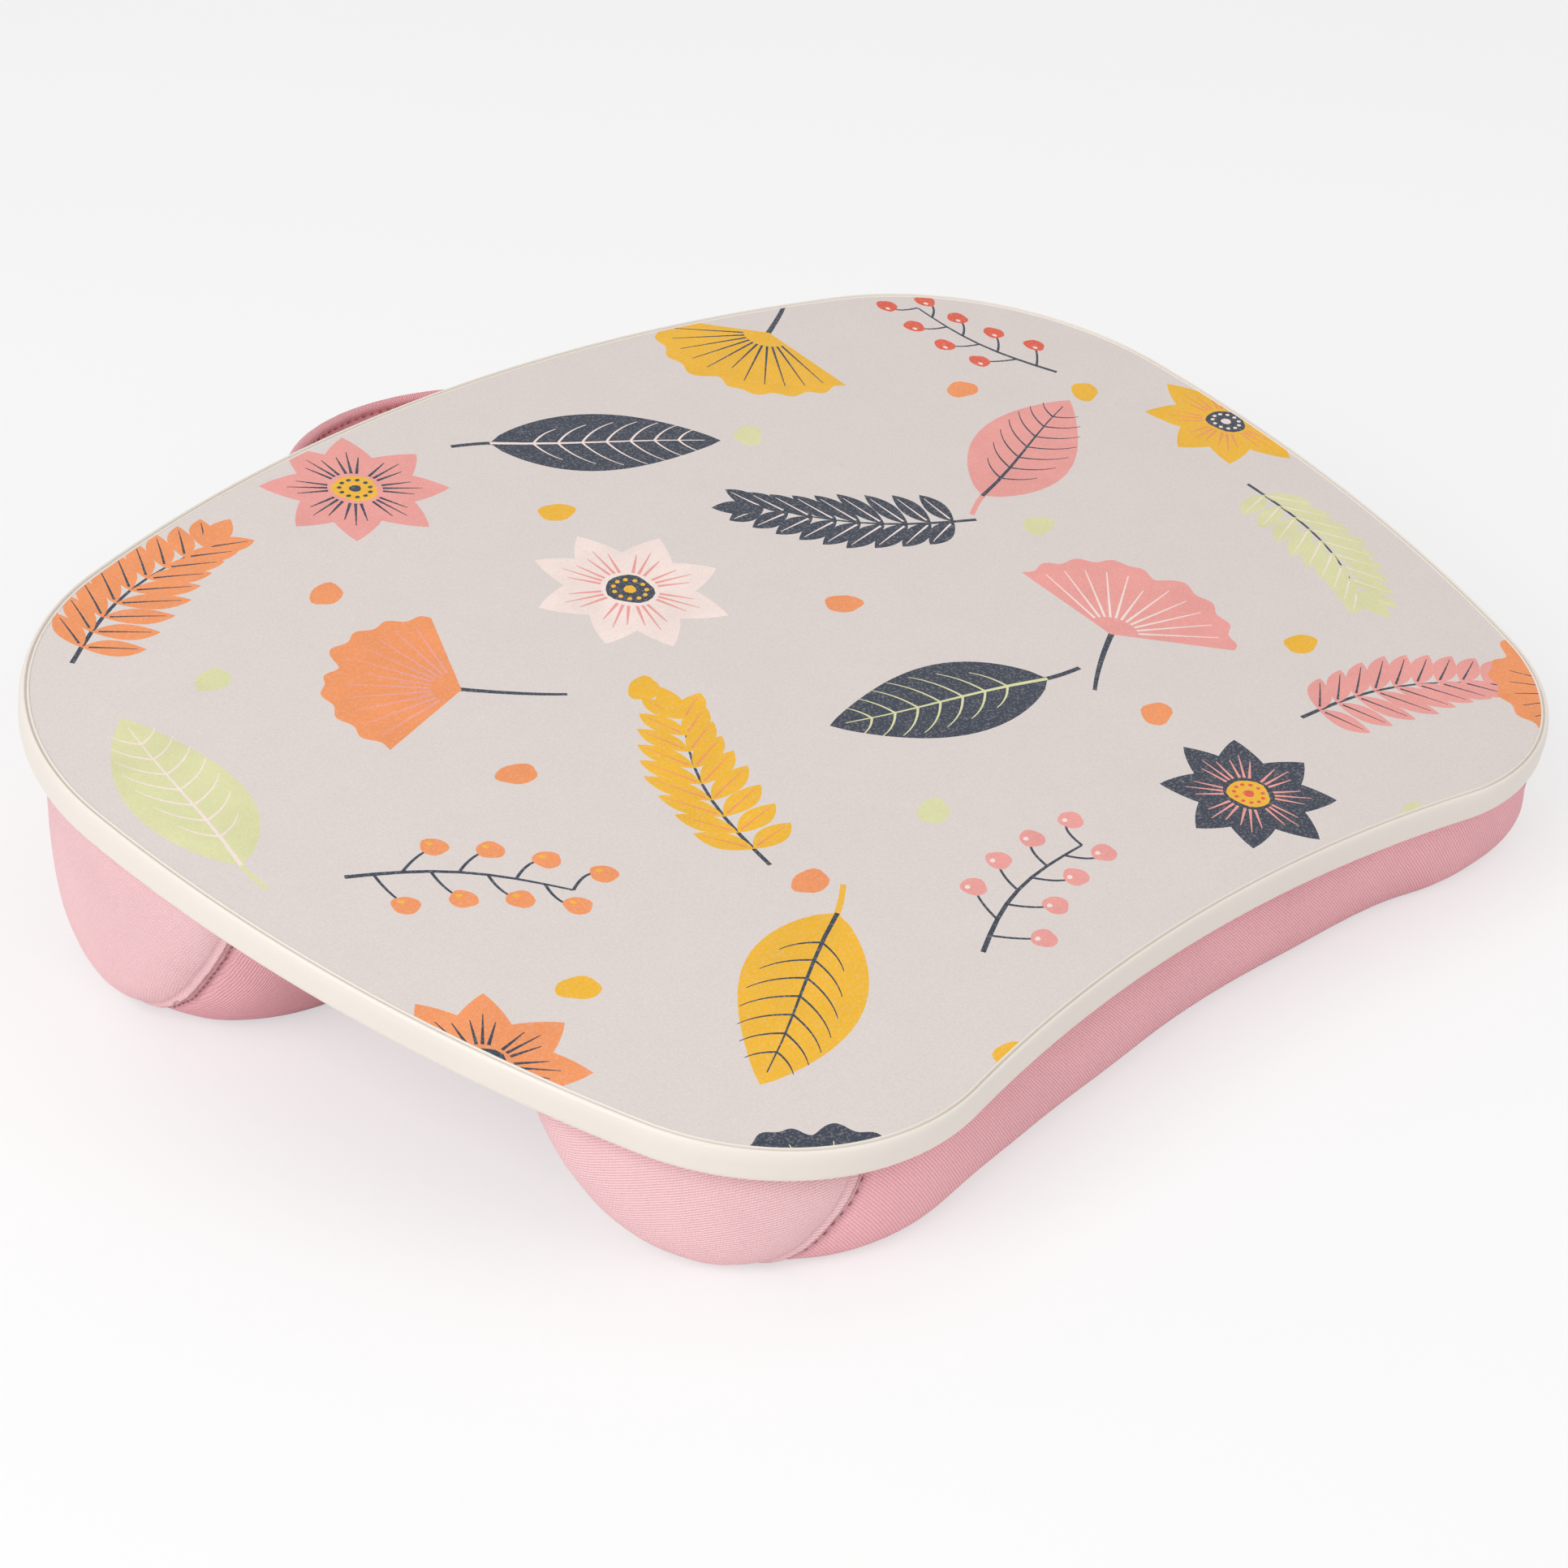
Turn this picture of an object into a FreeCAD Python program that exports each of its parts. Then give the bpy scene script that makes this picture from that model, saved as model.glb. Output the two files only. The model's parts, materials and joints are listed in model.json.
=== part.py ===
"""Lap tray on a two-part cushion, in millimetres.

The deck is a laminated board with a plastic edge moulding. Two cloth bolsters filled with beads carry it
at a slant, the rear one taller than the front one, and a strap handle bows out behind the rear edge.

Board frame: X to the user's right, Y away from the user, Z up out of the deck, with the origin on the deck's
top surface, half-way between the rear edge and the hollow of the user edge. Every piece of the desk is drawn
in that frame and then tilted onto the floor. The strap is drawn about its swing axis and hangs level.
"""
import FreeCAD
import Part
import Sketcher
import math
import os

from FreeCAD import Placement, Rotation, Vector

# Driving dimensions in millimetres and degrees, one row of the sheet each.
SIZES = (
    # outline of the deck, five arcs to each half, measured to the outside of the moulding
    ("tray_width", 450.0),
    ("centre_depth", 326.4),
    ("widest_from_rear", 114.0),
    ("rear_radius", 515.0),
    ("rear_corner_radius", 97.0),
    ("side_radius", 482.0),
    ("front_corner_radius", 71.0),
    ("hollow_radius", 513.0),
    # layers of the deck, from the top
    ("laminate_thickness", 0.5),
    ("core_thickness", 8.0),
    ("base_thickness", 1.2),
    ("base_clearance", 1.0),
    # edge moulding
    ("trim_wall", 2.0),
    ("trim_lip_reach", 1.0),
    ("trim_lip_height", 0.35),
    ("trim_groove_setback", 1.6),
    ("trim_groove_width", 0.6),
    ("trim_groove_depth", 0.3),
    ("trim_nose_height", 2.6),
    ("trim_chin_height", 2.4),
    ("trim_chin_setback", 1.2),
    ("tongue_length", 7.0),
    ("tongue_thickness", 1.6),
    ("tongue_tip_thickness", 1.0),
    ("slot_clearance", 0.2),
    ("slot_spare_depth", 1.5),
    # stance on the floor
    ("tilt_angle", 10.0),
    ("ride_height", 76.0),
    # cloth and the two bolsters
    ("cloth_thickness", 1.2),
    ("bolster_bulge", 1.5),
    ("rear_bolster_depth", 172.2),
    ("rear_valley_slope", 20.0),
    ("rear_valley_draw", 5.0),
    ("rear_end_slope", 8.0),
    ("rear_top_inset", 8.0),
    ("rear_bottom_draw", 11.0),
    ("rear_fold_top_radius", 24.0),
    ("rear_fold_bottom_radius", 48.0),
    ("rear_seam_in_at_valley", 14.5),
    ("rear_seam_in_at_edge", 37.0),
    ("front_bolster_depth", 77.2),
    ("front_valley_slope", 15.0),
    ("front_valley_draw", 20.0),
    ("front_end_slope", 1.0),
    ("front_top_inset", 7.0),
    ("front_bottom_draw", 4.5),
    ("front_fold_top_radius", 13.5),
    ("front_fold_bottom_radius", 29.5),
    ("front_seam_in_at_valley", 65.0),
    ("front_seam_in_at_edge", 79.0),
    ("cut_overrun", 20.0),
    # strap handle
    ("strap_width", 22.0),
    ("strap_thickness", 4.0),
    ("strap_edge_share", 0.35),
    ("handle_reach", 39.5),
    ("handle_radius", 60.4),
    ("handle_drop", 34.4),
    ("swing_clearance", 0.5),
    ("tab_length", 26.0),
    ("tab_clearance", 0.3),
)

# How far down the bolster each loft section lies, from the deck (0) to the floor (1).
DEPTH_SHARES = (0.0, 0.22, 0.45, 0.67, 0.84, 0.94, 0.985, 1.0)
# How many chords stand for each arc of a section: fold, end face, corner, and the long outer face.
ARC_CHORDS = (4, 3, 5)
OUTER_CHORDS = 12
# How sharply the outer faces and the valley faces turn in towards the floor.
EDGE_TURN_POWER = 4
VALLEY_TURN_POWER = 2
# Where each bolster's corner arc takes over from its end face at the deck and at the floor, in degrees.
CORNER_ANGLES = {"rear": (20.0, 40.0), "front": (-35.0, -72.0)}
# How far each seam leans outwards as it goes down, as a share of the depth.
SEAM_LEAN_SHARES = {"rear": 0.0, "front": 0.42}

document = FreeCAD.newDocument("LapTray")
sheet = document.addObject("Spreadsheet::Sheet", "Sizes")
for row, (alias, number) in enumerate(SIZES, start=1):
    sheet.set(f"A{row}", alias)
    sheet.set(f"B{row}", str(number))
    sheet.setAlias(f"B{row}", alias)
document.recompute()


def size(name):
    """A driving dimension, read from the sheet."""
    return float(sheet.get(name))


def worth(formula):
    """The number that a sheet formula gives."""
    return float(sheet.evalExpression(formula))


# Levels and places that several pieces share, as sheet formulas.
CORE_MIDDLE = "-(Sizes.laminate_thickness + Sizes.core_thickness / 2)"
DECK_UNDERSIDE = "-(2 * Sizes.laminate_thickness + Sizes.core_thickness)"
CUSHION_TOP = f"{DECK_UNDERSIDE} - Sizes.base_thickness"
TRIM_LIP = "(Sizes.trim_wall + Sizes.trim_lip_reach)"
SLOT_THICKNESS = "(Sizes.tongue_thickness + 2 * Sizes.slot_clearance)"
TAB_INSET = "(Sizes.rear_top_inset - Sizes.bolster_bulge - Sizes.tab_clearance)"

REAR_Y = worth("Sizes.centre_depth / 2")
HALF_WIDTH = worth("Sizes.tray_width / 2")
WIDEST_Y = REAR_Y - size("widest_from_rear")
TOP_LEVEL = worth(CUSHION_TOP)
TILT = math.radians(size("tilt_angle"))
UP = Vector(0, 0, 1)


def toward(start, end):
    """Unit vector from one point to another."""
    step = end - start
    step.normalize()
    return step


def flipped(point):
    """The mirror image of a point across the tray's middle."""
    return Vector(-point.x, point.y, point.z)


def heading(centre, point):
    """Direction from a centre to a point, in radians from X."""
    return math.atan2(point.y - centre.y, point.x - centre.x)


def crossing(centre_a, radius_a, centre_b, radius_b, preferred):
    """The crossing of two circles that lies furthest along a preferred direction."""
    along = toward(centre_a, centre_b)
    gap = (centre_b - centre_a).Length
    reach = (gap ** 2 + radius_a ** 2 - radius_b ** 2) / (2 * gap)
    rise = math.sqrt(radius_a ** 2 - reach ** 2)
    across = Vector(-along.y, along.x, 0)
    points = [centre_a + along * reach + across * side for side in (rise, -rise)]
    return max(points, key=preferred.dot)


class Outline:
    """The arcs of the deck's right half, at some distance inside the moulding's outer face."""

    rear = Vector(0, REAR_Y - size("rear_radius"), 0)
    side = Vector(HALF_WIDTH - size("side_radius"), WIDEST_Y, 0)
    hollow = Vector(0, -REAR_Y - size("hollow_radius"), 0)
    rear_corner = crossing(
        rear, size("rear_radius") - size("rear_corner_radius"),
        side, size("side_radius") - size("rear_corner_radius"), Vector(1, 1, 0))
    front_corner = crossing(
        side, size("side_radius") - size("front_corner_radius"),
        hollow, size("hollow_radius") + size("front_corner_radius"), Vector(1, -1, 0))

    def __init__(self, inset):
        self.rear_radius = size("rear_radius") - inset
        self.rear_corner_radius = size("rear_corner_radius") - inset
        self.side_radius = size("side_radius") - inset
        self.front_corner_radius = size("front_corner_radius") - inset
        self.hollow_radius = size("hollow_radius") + inset
        self.rear_middle = self.rear + Vector(0, self.rear_radius, 0)
        self.rear_joint = self.rear + toward(self.rear, self.rear_corner) * self.rear_radius
        self.upper_joint = self.side + toward(self.side, self.rear_corner) * self.side_radius
        self.lower_joint = self.side + toward(self.side, self.front_corner) * self.side_radius
        self.hollow_joint = self.hollow + toward(self.hollow, self.front_corner) * self.hollow_radius

    def edge_at(self, y):
        """The point of the right edge at a distance along the tray."""
        centre, radius = self.side, self.side_radius
        if y > self.upper_joint.y:
            centre, radius = self.rear_corner, self.rear_corner_radius
        elif y < self.lower_joint.y:
            centre, radius = self.front_corner, self.front_corner_radius
        return Vector(centre.x + math.sqrt(radius ** 2 - (y - centre.y) ** 2), y, 0)


def arc_geometry(centre, radius, start, end):
    """A counter-clockwise arc between two points."""
    return Part.ArcOfCircle(Part.Circle(centre, UP, radius), heading(centre, start), heading(centre, end))


def new_body(name):
    body = document.addObject("PartDesign::Body", name)
    body.Label = name
    return body


def new_sketch(body, name, role, offset="0"):
    """A sketch on one of the body's own planes, moved along that plane's normal by a sheet formula."""
    sketch = body.newObject("Sketcher::SketchObject", name)
    plane = next(feature for feature in body.Origin.OriginFeatures if feature.Role == role)
    sketch.AttachmentSupport = [(plane, "")]
    sketch.MapMode = "FlatFace"
    sketch.setExpression("AttachmentOffset.Base.z", offset)
    document.recompute()
    return sketch


# How sketches number the points of an edge, and their own axes and origin.
START, END, CENTRE = range(1, 4)
LEVEL_AXIS, UPRIGHT_AXIS = range(-1, -3, -1)
ROOT_POINT = (LEVEL_AXIS, START)


def tie(sketch, kind, *parts):
    sketch.addConstraint(Sketcher.Constraint(kind, *parts))


def hold(sketch, kind, parts, formula):
    """Adds one dimension to a sketch and binds it to a sheet formula."""
    index = sketch.addConstraint(Sketcher.Constraint(kind, *parts, worth(formula)))
    sketch.setExpression(f"Constraints[{index}]", formula)


def hold_place(sketch, element, along, up):
    """Holds a point of a sketch at two sheet formulas, measured from the sketch's origin."""
    for kind, axis, formula in (("DistanceX", UPRIGHT_AXIS, along), ("DistanceY", LEVEL_AXIS, up)):
        number = worth(formula)
        if number == 0:
            tie(sketch, "PointOnObject", *element, axis)
        elif number > 0:
            hold(sketch, kind, (*ROOT_POINT, *element), formula)
        else:
            hold(sketch, kind, (*element, *ROOT_POINT), f"-({formula})")


def draw_outline(sketch, inset):
    """Draws the whole deck outline, inside the moulding's outer face by a sheet formula."""
    line = Outline(worth(inset))
    arcs = (
        (line.rear, line.rear_radius, line.rear_middle, flipped(line.rear_joint)),
        (flipped(line.rear_corner), line.rear_corner_radius, flipped(line.rear_joint), flipped(line.upper_joint)),
        (flipped(line.side), line.side_radius, flipped(line.upper_joint), flipped(line.lower_joint)),
        (flipped(line.front_corner), line.front_corner_radius,
         flipped(line.lower_joint), flipped(line.hollow_joint)),
        (line.hollow, line.hollow_radius, line.hollow_joint, flipped(line.hollow_joint)),
        (line.front_corner, line.front_corner_radius, line.hollow_joint, line.lower_joint),
        (line.side, line.side_radius, line.lower_joint, line.upper_joint),
        (line.rear_corner, line.rear_corner_radius, line.upper_joint, line.rear_joint),
        (line.rear, line.rear_radius, line.rear_joint, line.rear_middle),
    )
    numbers = [sketch.addGeometry(arc_geometry(*arc), False) for arc in arcs]
    rear_left, corner_left, side_left, front_left, hollow = numbers[:5]
    front_right, side_right, corner_right, rear_right = numbers[5:]
    tie(sketch, "Tangent", rear_left, END, corner_left, START)
    tie(sketch, "Tangent", corner_left, END, side_left, START)
    tie(sketch, "Tangent", side_left, END, front_left, START)
    tie(sketch, "Tangent", front_left, END, hollow, END)
    tie(sketch, "Tangent", hollow, START, front_right, START)
    tie(sketch, "Tangent", front_right, END, side_right, START)
    tie(sketch, "Tangent", side_right, END, corner_right, START)
    tie(sketch, "Tangent", corner_right, END, rear_right, START)
    tie(sketch, "Coincident", rear_right, END, rear_left, START)
    tie(sketch, "Coincident", rear_right, CENTRE, rear_left, CENTRE)
    tie(sketch, "PointOnObject", rear_left, START, UPRIGHT_AXIS)
    hold_place(sketch, (rear_left, CENTRE), "0", "Sizes.centre_depth / 2 - Sizes.rear_radius")
    hold_place(sketch, (hollow, CENTRE), "0", "-(Sizes.centre_depth / 2 + Sizes.hollow_radius)")
    for side, sign in ((side_left, "-"), (side_right, "")):
        hold_place(sketch, (side, CENTRE), f"{sign}(Sizes.tray_width / 2 - Sizes.side_radius)",
                   "Sizes.centre_depth / 2 - Sizes.widest_from_rear")
        hold(sketch, "Radius", (side,), f"Sizes.side_radius - {inset}")
    for corner in (corner_left, corner_right):
        hold(sketch, "Radius", (corner,), f"Sizes.rear_corner_radius - {inset}")
    for corner in (front_left, front_right):
        hold(sketch, "Radius", (corner,), f"Sizes.front_corner_radius - {inset}")
    hold(sketch, "Radius", (rear_left,), f"Sizes.rear_radius - {inset}")
    hold(sketch, "Radius", (hollow,), f"Sizes.hollow_radius + {inset}")


def draw_profile(sketch, corners, bends):
    """Draws a closed profile through corners given as pairs of sheet formulas.

    A side whose first corner is a key of bends is an arc, which meets the profile's upright side squarely at
    the corner that bends names. All the other sides are straight.
    """
    places = [Vector(worth(along), worth(up), 0) for along, up in corners]
    sides = []
    for index, first in enumerate(places):
        last = places[(index + 1) % len(places)]
        if index not in bends:
            sides.append((sketch.addGeometry(Part.LineSegment(first, last), False), START, END))
            continue
        upright = places[bends[index]]
        free = last if upright is first else first
        run, rise = upright.x - free.x, free.y - upright.y
        radius = (run ** 2 + rise ** 2) / (2 * run)
        centre = upright - Vector(radius, 0, 0)
        if rise > 0:
            arc, free_end, upright_end = arc_geometry(centre, radius, upright, free), END, START
        else:
            arc, free_end, upright_end = arc_geometry(centre, radius, free, upright), START, END
        ends = (upright_end, free_end) if upright is first else (free_end, upright_end)
        sides.append((sketch.addGeometry(arc, False), *ends))
    for index, (number, first_end, _) in enumerate(sides):
        before, _, before_end = sides[index - 1]
        joint = "Tangent" if index in bends.values() else "Coincident"
        tie(sketch, joint, before, before_end, number, first_end)
        hold_place(sketch, (number, first_end), *corners[index])


def add_pad(body, sketch, length, both_ways=False, reverse=False):
    pad = body.newObject("PartDesign::Pad", f"{sketch.Name}_pad")
    pad.Profile = sketch
    pad.Midplane = both_ways
    pad.Reversed = reverse
    pad.setExpression("Length", length)
    document.recompute()
    return pad


def add_pocket(body, sketch, length, both_ways=False):
    before = body.Shape.Volume
    pocket = body.newObject("PartDesign::Pocket", f"{sketch.Name}_pocket")
    pocket.Profile = sketch
    pocket.Midplane = both_ways
    pocket.setExpression("Length", length)
    document.recompute()
    if not body.Shape.Volume < before:
        raise RuntimeError(f"{pocket.Name} cuts nothing")
    return pocket


def deck_layer(name, inset, top, thickness):
    """A flat layer of the deck: the outline at some inset, filled downwards from a level."""
    body = new_body(name)
    sketch = new_sketch(body, f"{name}_outline", "XY_Plane", top)
    draw_outline(sketch, inset)
    add_pad(body, sketch, thickness, reverse=True)
    return body


def deck_core():
    """The fibreboard, with a slot round its edge for the moulding's tongue."""
    body = deck_layer("deck_core", "Sizes.trim_wall", "-Sizes.laminate_thickness", "Sizes.core_thickness")
    slot = new_sketch(body, "edge_slot", "XY_Plane", f"{CORE_MIDDLE} + {SLOT_THICKNESS} / 2")
    draw_outline(slot, "0")
    draw_outline(slot, "(Sizes.trim_wall + Sizes.tongue_length + Sizes.slot_spare_depth)")
    add_pocket(body, slot, SLOT_THICKNESS)
    return body


def edge_trim():
    """The moulding: lip, groove, rounded nose, upright face and chin outside, tapered tongue inside."""
    body = new_body("edge_trim")
    path = new_sketch(body, "trim_path", "XY_Plane")
    draw_outline(path, "0")
    lip_top = "Sizes.trim_lip_height"
    lip_bottom = f"{DECK_UNDERSIDE} - Sizes.trim_lip_height"
    tip = "Sizes.trim_wall + Sizes.tongue_length"
    half_tongue = "Sizes.tongue_thickness / 2"
    half_tip = "Sizes.tongue_tip_thickness / 2"
    core_top = "-Sizes.laminate_thickness"
    corners = (
        (TRIM_LIP, core_top),
        (TRIM_LIP, lip_top),
        ("Sizes.trim_groove_setback + Sizes.trim_groove_width / 2", lip_top),
        ("Sizes.trim_groove_setback", f"{lip_top} - Sizes.trim_groove_depth"),
        ("Sizes.trim_groove_setback - Sizes.trim_groove_width / 2", lip_top),
        ("0", f"{lip_top} - Sizes.trim_nose_height"),
        ("0", f"{lip_bottom} + Sizes.trim_chin_height"),
        ("Sizes.trim_chin_setback", lip_bottom),
        (TRIM_LIP, lip_bottom),
        (TRIM_LIP, DECK_UNDERSIDE),
        ("Sizes.trim_wall", DECK_UNDERSIDE),
        ("Sizes.trim_wall", f"{CORE_MIDDLE} - {half_tongue}"),
        (tip, f"{CORE_MIDDLE} - {half_tip}"),
        (tip, f"{CORE_MIDDLE} + {half_tip}"),
        ("Sizes.trim_wall", f"{CORE_MIDDLE} + {half_tongue}"),
        ("Sizes.trim_wall", core_top),
    )
    profile = new_sketch(body, "trim_profile", "YZ_Plane")
    draw_profile(profile, [(f"Sizes.centre_depth / 2 - ({inset})", level) for inset, level in corners], {4: 5, 6: 6})
    pipe = body.newObject("PartDesign::AdditivePipe", "trim_sweep")
    pipe.Profile = profile
    pipe.Spine = path
    document.recompute()
    return body


class Bolster:
    """One bolster: its sections from the deck to the floor, its cloth cover and its filling."""

    def __init__(self, name, away):
        self.name = name
        self.away = away
        self.corner_angles = [math.radians(angle) for angle in CORNER_ANGLES[name]]
        self.valley = away * (REAR_Y - self.size("bolster_depth"))

    def size(self, what):
        """One of this bolster's own sizes."""
        return size(f"{self.name}_{what}")

    def section(self, share, skin):
        """The bolster's outline at one share of its depth, inside its outer face by a skin."""
        inset = self.size("top_inset") + skin - size("bolster_bulge") * math.sin(math.pi * share)
        inset += self.size("bottom_draw") * (1 - math.sqrt(1 - share ** EDGE_TURN_POWER))
        draw = self.size("valley_slope") * share + skin
        draw += self.size("valley_draw") * (1 - math.sqrt(1 - share ** VALLEY_TURN_POWER))
        valley = self.valley + self.away * draw
        fold = self.size("fold_top_radius") * (1 - share) + self.size("fold_bottom_radius") * share - skin
        line = Outline(inset)
        pull = Vector(self.size("end_slope") * share, 0, 0)
        fold_end = line.edge_at(valley + self.away * fold)
        fold_centre = fold_end - Vector(fold, 0, 0)
        fold_start = fold_centre - Vector(0, self.away * fold, 0)
        fold_middle = fold_centre + Vector(fold, -self.away * fold, 0) * math.sqrt(1 / 2)
        if self.away > 0:
            corner, radius, joint = line.rear_corner, line.rear_corner_radius, line.rear_joint
            outer_middle = line.rear_middle
        else:
            corner, radius, joint = line.front_corner, line.front_corner_radius, line.hollow_joint
            outer_middle = line.hollow + Vector(0, line.hollow_radius, 0)

        def on_corner(angle):
            return corner + Vector(math.cos(angle), math.sin(angle), 0) * radius

        first_angle = self.corner_angles[0] * (1 - share) + self.corner_angles[1] * share
        corner_start = on_corner(first_angle)
        corner_middle = on_corner((first_angle + heading(corner, joint)) / 2)
        side_middle = line.edge_at((fold_end.y + corner_start.y) / 2)
        path = [fold_start, fold_middle, fold_end, side_middle, corner_start, corner_middle, joint]
        right = [point - pull for point in path]
        left = [flipped(point) for point in reversed(right)]
        arcs = [Part.Arc(*half[first:first + 3]) for half in (right, left) for first in (0, 2, 4)]
        arcs.insert(3, Part.Arc(right[-1], outer_middle, left[0]))
        spots = []
        for arc, chords in zip(arcs, (*ARC_CHORDS, OUTER_CHORDS, *reversed(ARC_CHORDS))):
            spots += arc.discretize(Number=chords + 1)[:-1]
        spots.append(left[-1])
        return self.lay(Part.makePolygon([*spots, spots[0]]), share, skin)

    def lay(self, wire, share, skin):
        """Turns a flat section about the line where the floor would meet the cushion's top."""
        hinge = (TOP_LEVEL + size("ride_height")) / -math.tan(TILT)
        slant = TILT * share
        kept = REAR_Y if self.away > 0 else -REAR_Y
        slide = (kept - hinge) * (1 / math.cos(slant) - 1)
        wire.translate(Vector(0, slide, TOP_LEVEL))
        wire.rotate(Vector(0, hinge, TOP_LEVEL), Vector(1, 0, 0), -math.degrees(slant))
        wire.translate(Vector(0, math.sin(TILT), math.cos(TILT)) * (skin * share))
        return wire

    def form(self, skin):
        return Part.makeLoft([self.section(share, skin) for share in DEPTH_SHARES], True, True)

    def end_block(self, sign):
        """Everything outside the seam between the wrap and one end panel."""
        line = Outline(self.size("top_inset"))
        if self.away > 0:
            corner, radius = line.rear_corner, line.rear_corner_radius
        else:
            corner, radius = line.front_corner, line.front_corner_radius
        edge_x = HALF_WIDTH - self.size("seam_in_at_edge")
        edge_y = corner.y + self.away * math.sqrt(radius ** 2 - (edge_x - corner.x) ** 2)
        at_valley = Vector(HALF_WIDTH - self.size("seam_in_at_valley"), self.valley, 0)
        at_edge = Vector(edge_x, edge_y, 0)
        overrun = size("cut_overrun")
        along = toward(at_valley, at_edge) * overrun
        near, far = at_valley - along, at_edge + along
        right = HALF_WIDTH + overrun
        corners = [near, far, Vector(right, far.y, 0), Vector(right, near.y, 0), near]
        base = Part.Face(Part.makePolygon([Vector(sign * spot.x, spot.y, TOP_LEVEL) for spot in corners]))
        depth = size("ride_height") + REAR_Y * math.tan(TILT)
        return base.extrude(Vector(sign * SEAM_LEAN_SHARES[self.name], 0, -1) * depth)

    def pieces(self):
        """The filling, the two end panels and the wrap between them."""
        filling = self.form(size("cloth_thickness"))
        cover = self.form(0).cut(filling)
        left, right = self.end_block(-1), self.end_block(1)
        yield f"{self.name}_filling", filling
        yield f"{self.name}_left_cap", cover.common(left)
        yield f"{self.name}_right_cap", cover.common(right)
        yield f"{self.name}_wrap", cover.cut([left, right])


def bolster_features(bolster):
    features = []
    for name, shape in bolster.pieces():
        if len(shape.Solids) != 1:
            raise RuntimeError(f"{name} came out as {len(shape.Solids)} solids")
        feature = document.addObject("Part::Feature", name)
        feature.Label = name
        feature.Shape = shape.Solids[0]
        features.append(feature)
    return features


# The strap's bow is an arc about a point on the tray's middle. Its ends lie against the rear bolster and are
# rounded about the swing axis, so that they turn there without touching anything.
REAR_SAG = "(Sizes.rear_radius - sqrt(Sizes.rear_radius ^ 2 - Sizes.handle_radius ^ 2))"
AXIS_Y = (f"(Sizes.centre_depth / 2 - {REAR_SAG} - Sizes.rear_top_inset + Sizes.bolster_bulge"
          " + Sizes.swing_clearance + Sizes.strap_width / 2)")
BOW_CENTRE = (f"(Sizes.centre_depth / 2 + Sizes.handle_reach - Sizes.handle_radius"
              f" - Sizes.strap_thickness / 2 - {AXIS_Y})")
BOW_OUTER = "(Sizes.handle_radius + Sizes.strap_thickness / 2)"
BOW_INNER = "(Sizes.handle_radius - Sizes.strap_thickness / 2)"
END_HEIGHT = f"(-Sizes.strap_width / 2 - {BOW_CENTRE})"
TAB_START = f"(sqrt({BOW_OUTER} ^ 2 - {END_HEIGHT} ^ 2) + Sizes.swing_clearance)"
EDGE_EASING = "Sizes.strap_thickness * Sizes.strap_edge_share"


def ease_long_edges(body, pad):
    """Eases the long curved edges at the top and bottom of a strap."""
    half = size("strap_width") / 2
    middle = pad.Shape.BoundBox.Center.z
    names = []
    for number, edge in enumerate(pad.Shape.Edges, start=1):
        box = edge.BoundBox
        level = math.isclose(box.ZMin, box.ZMax, abs_tol=half * Part.Precision.confusion())
        if isinstance(edge.Curve, Part.Circle) and not math.isclose(box.Center.z, middle) and level:
            names.append(f"Edge{number}")
    easing = body.newObject("PartDesign::Chamfer", f"{body.Name}_eased_edges")
    easing.Base = (pad, names)
    easing.setExpression("Size", EDGE_EASING)
    document.recompute()


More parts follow.
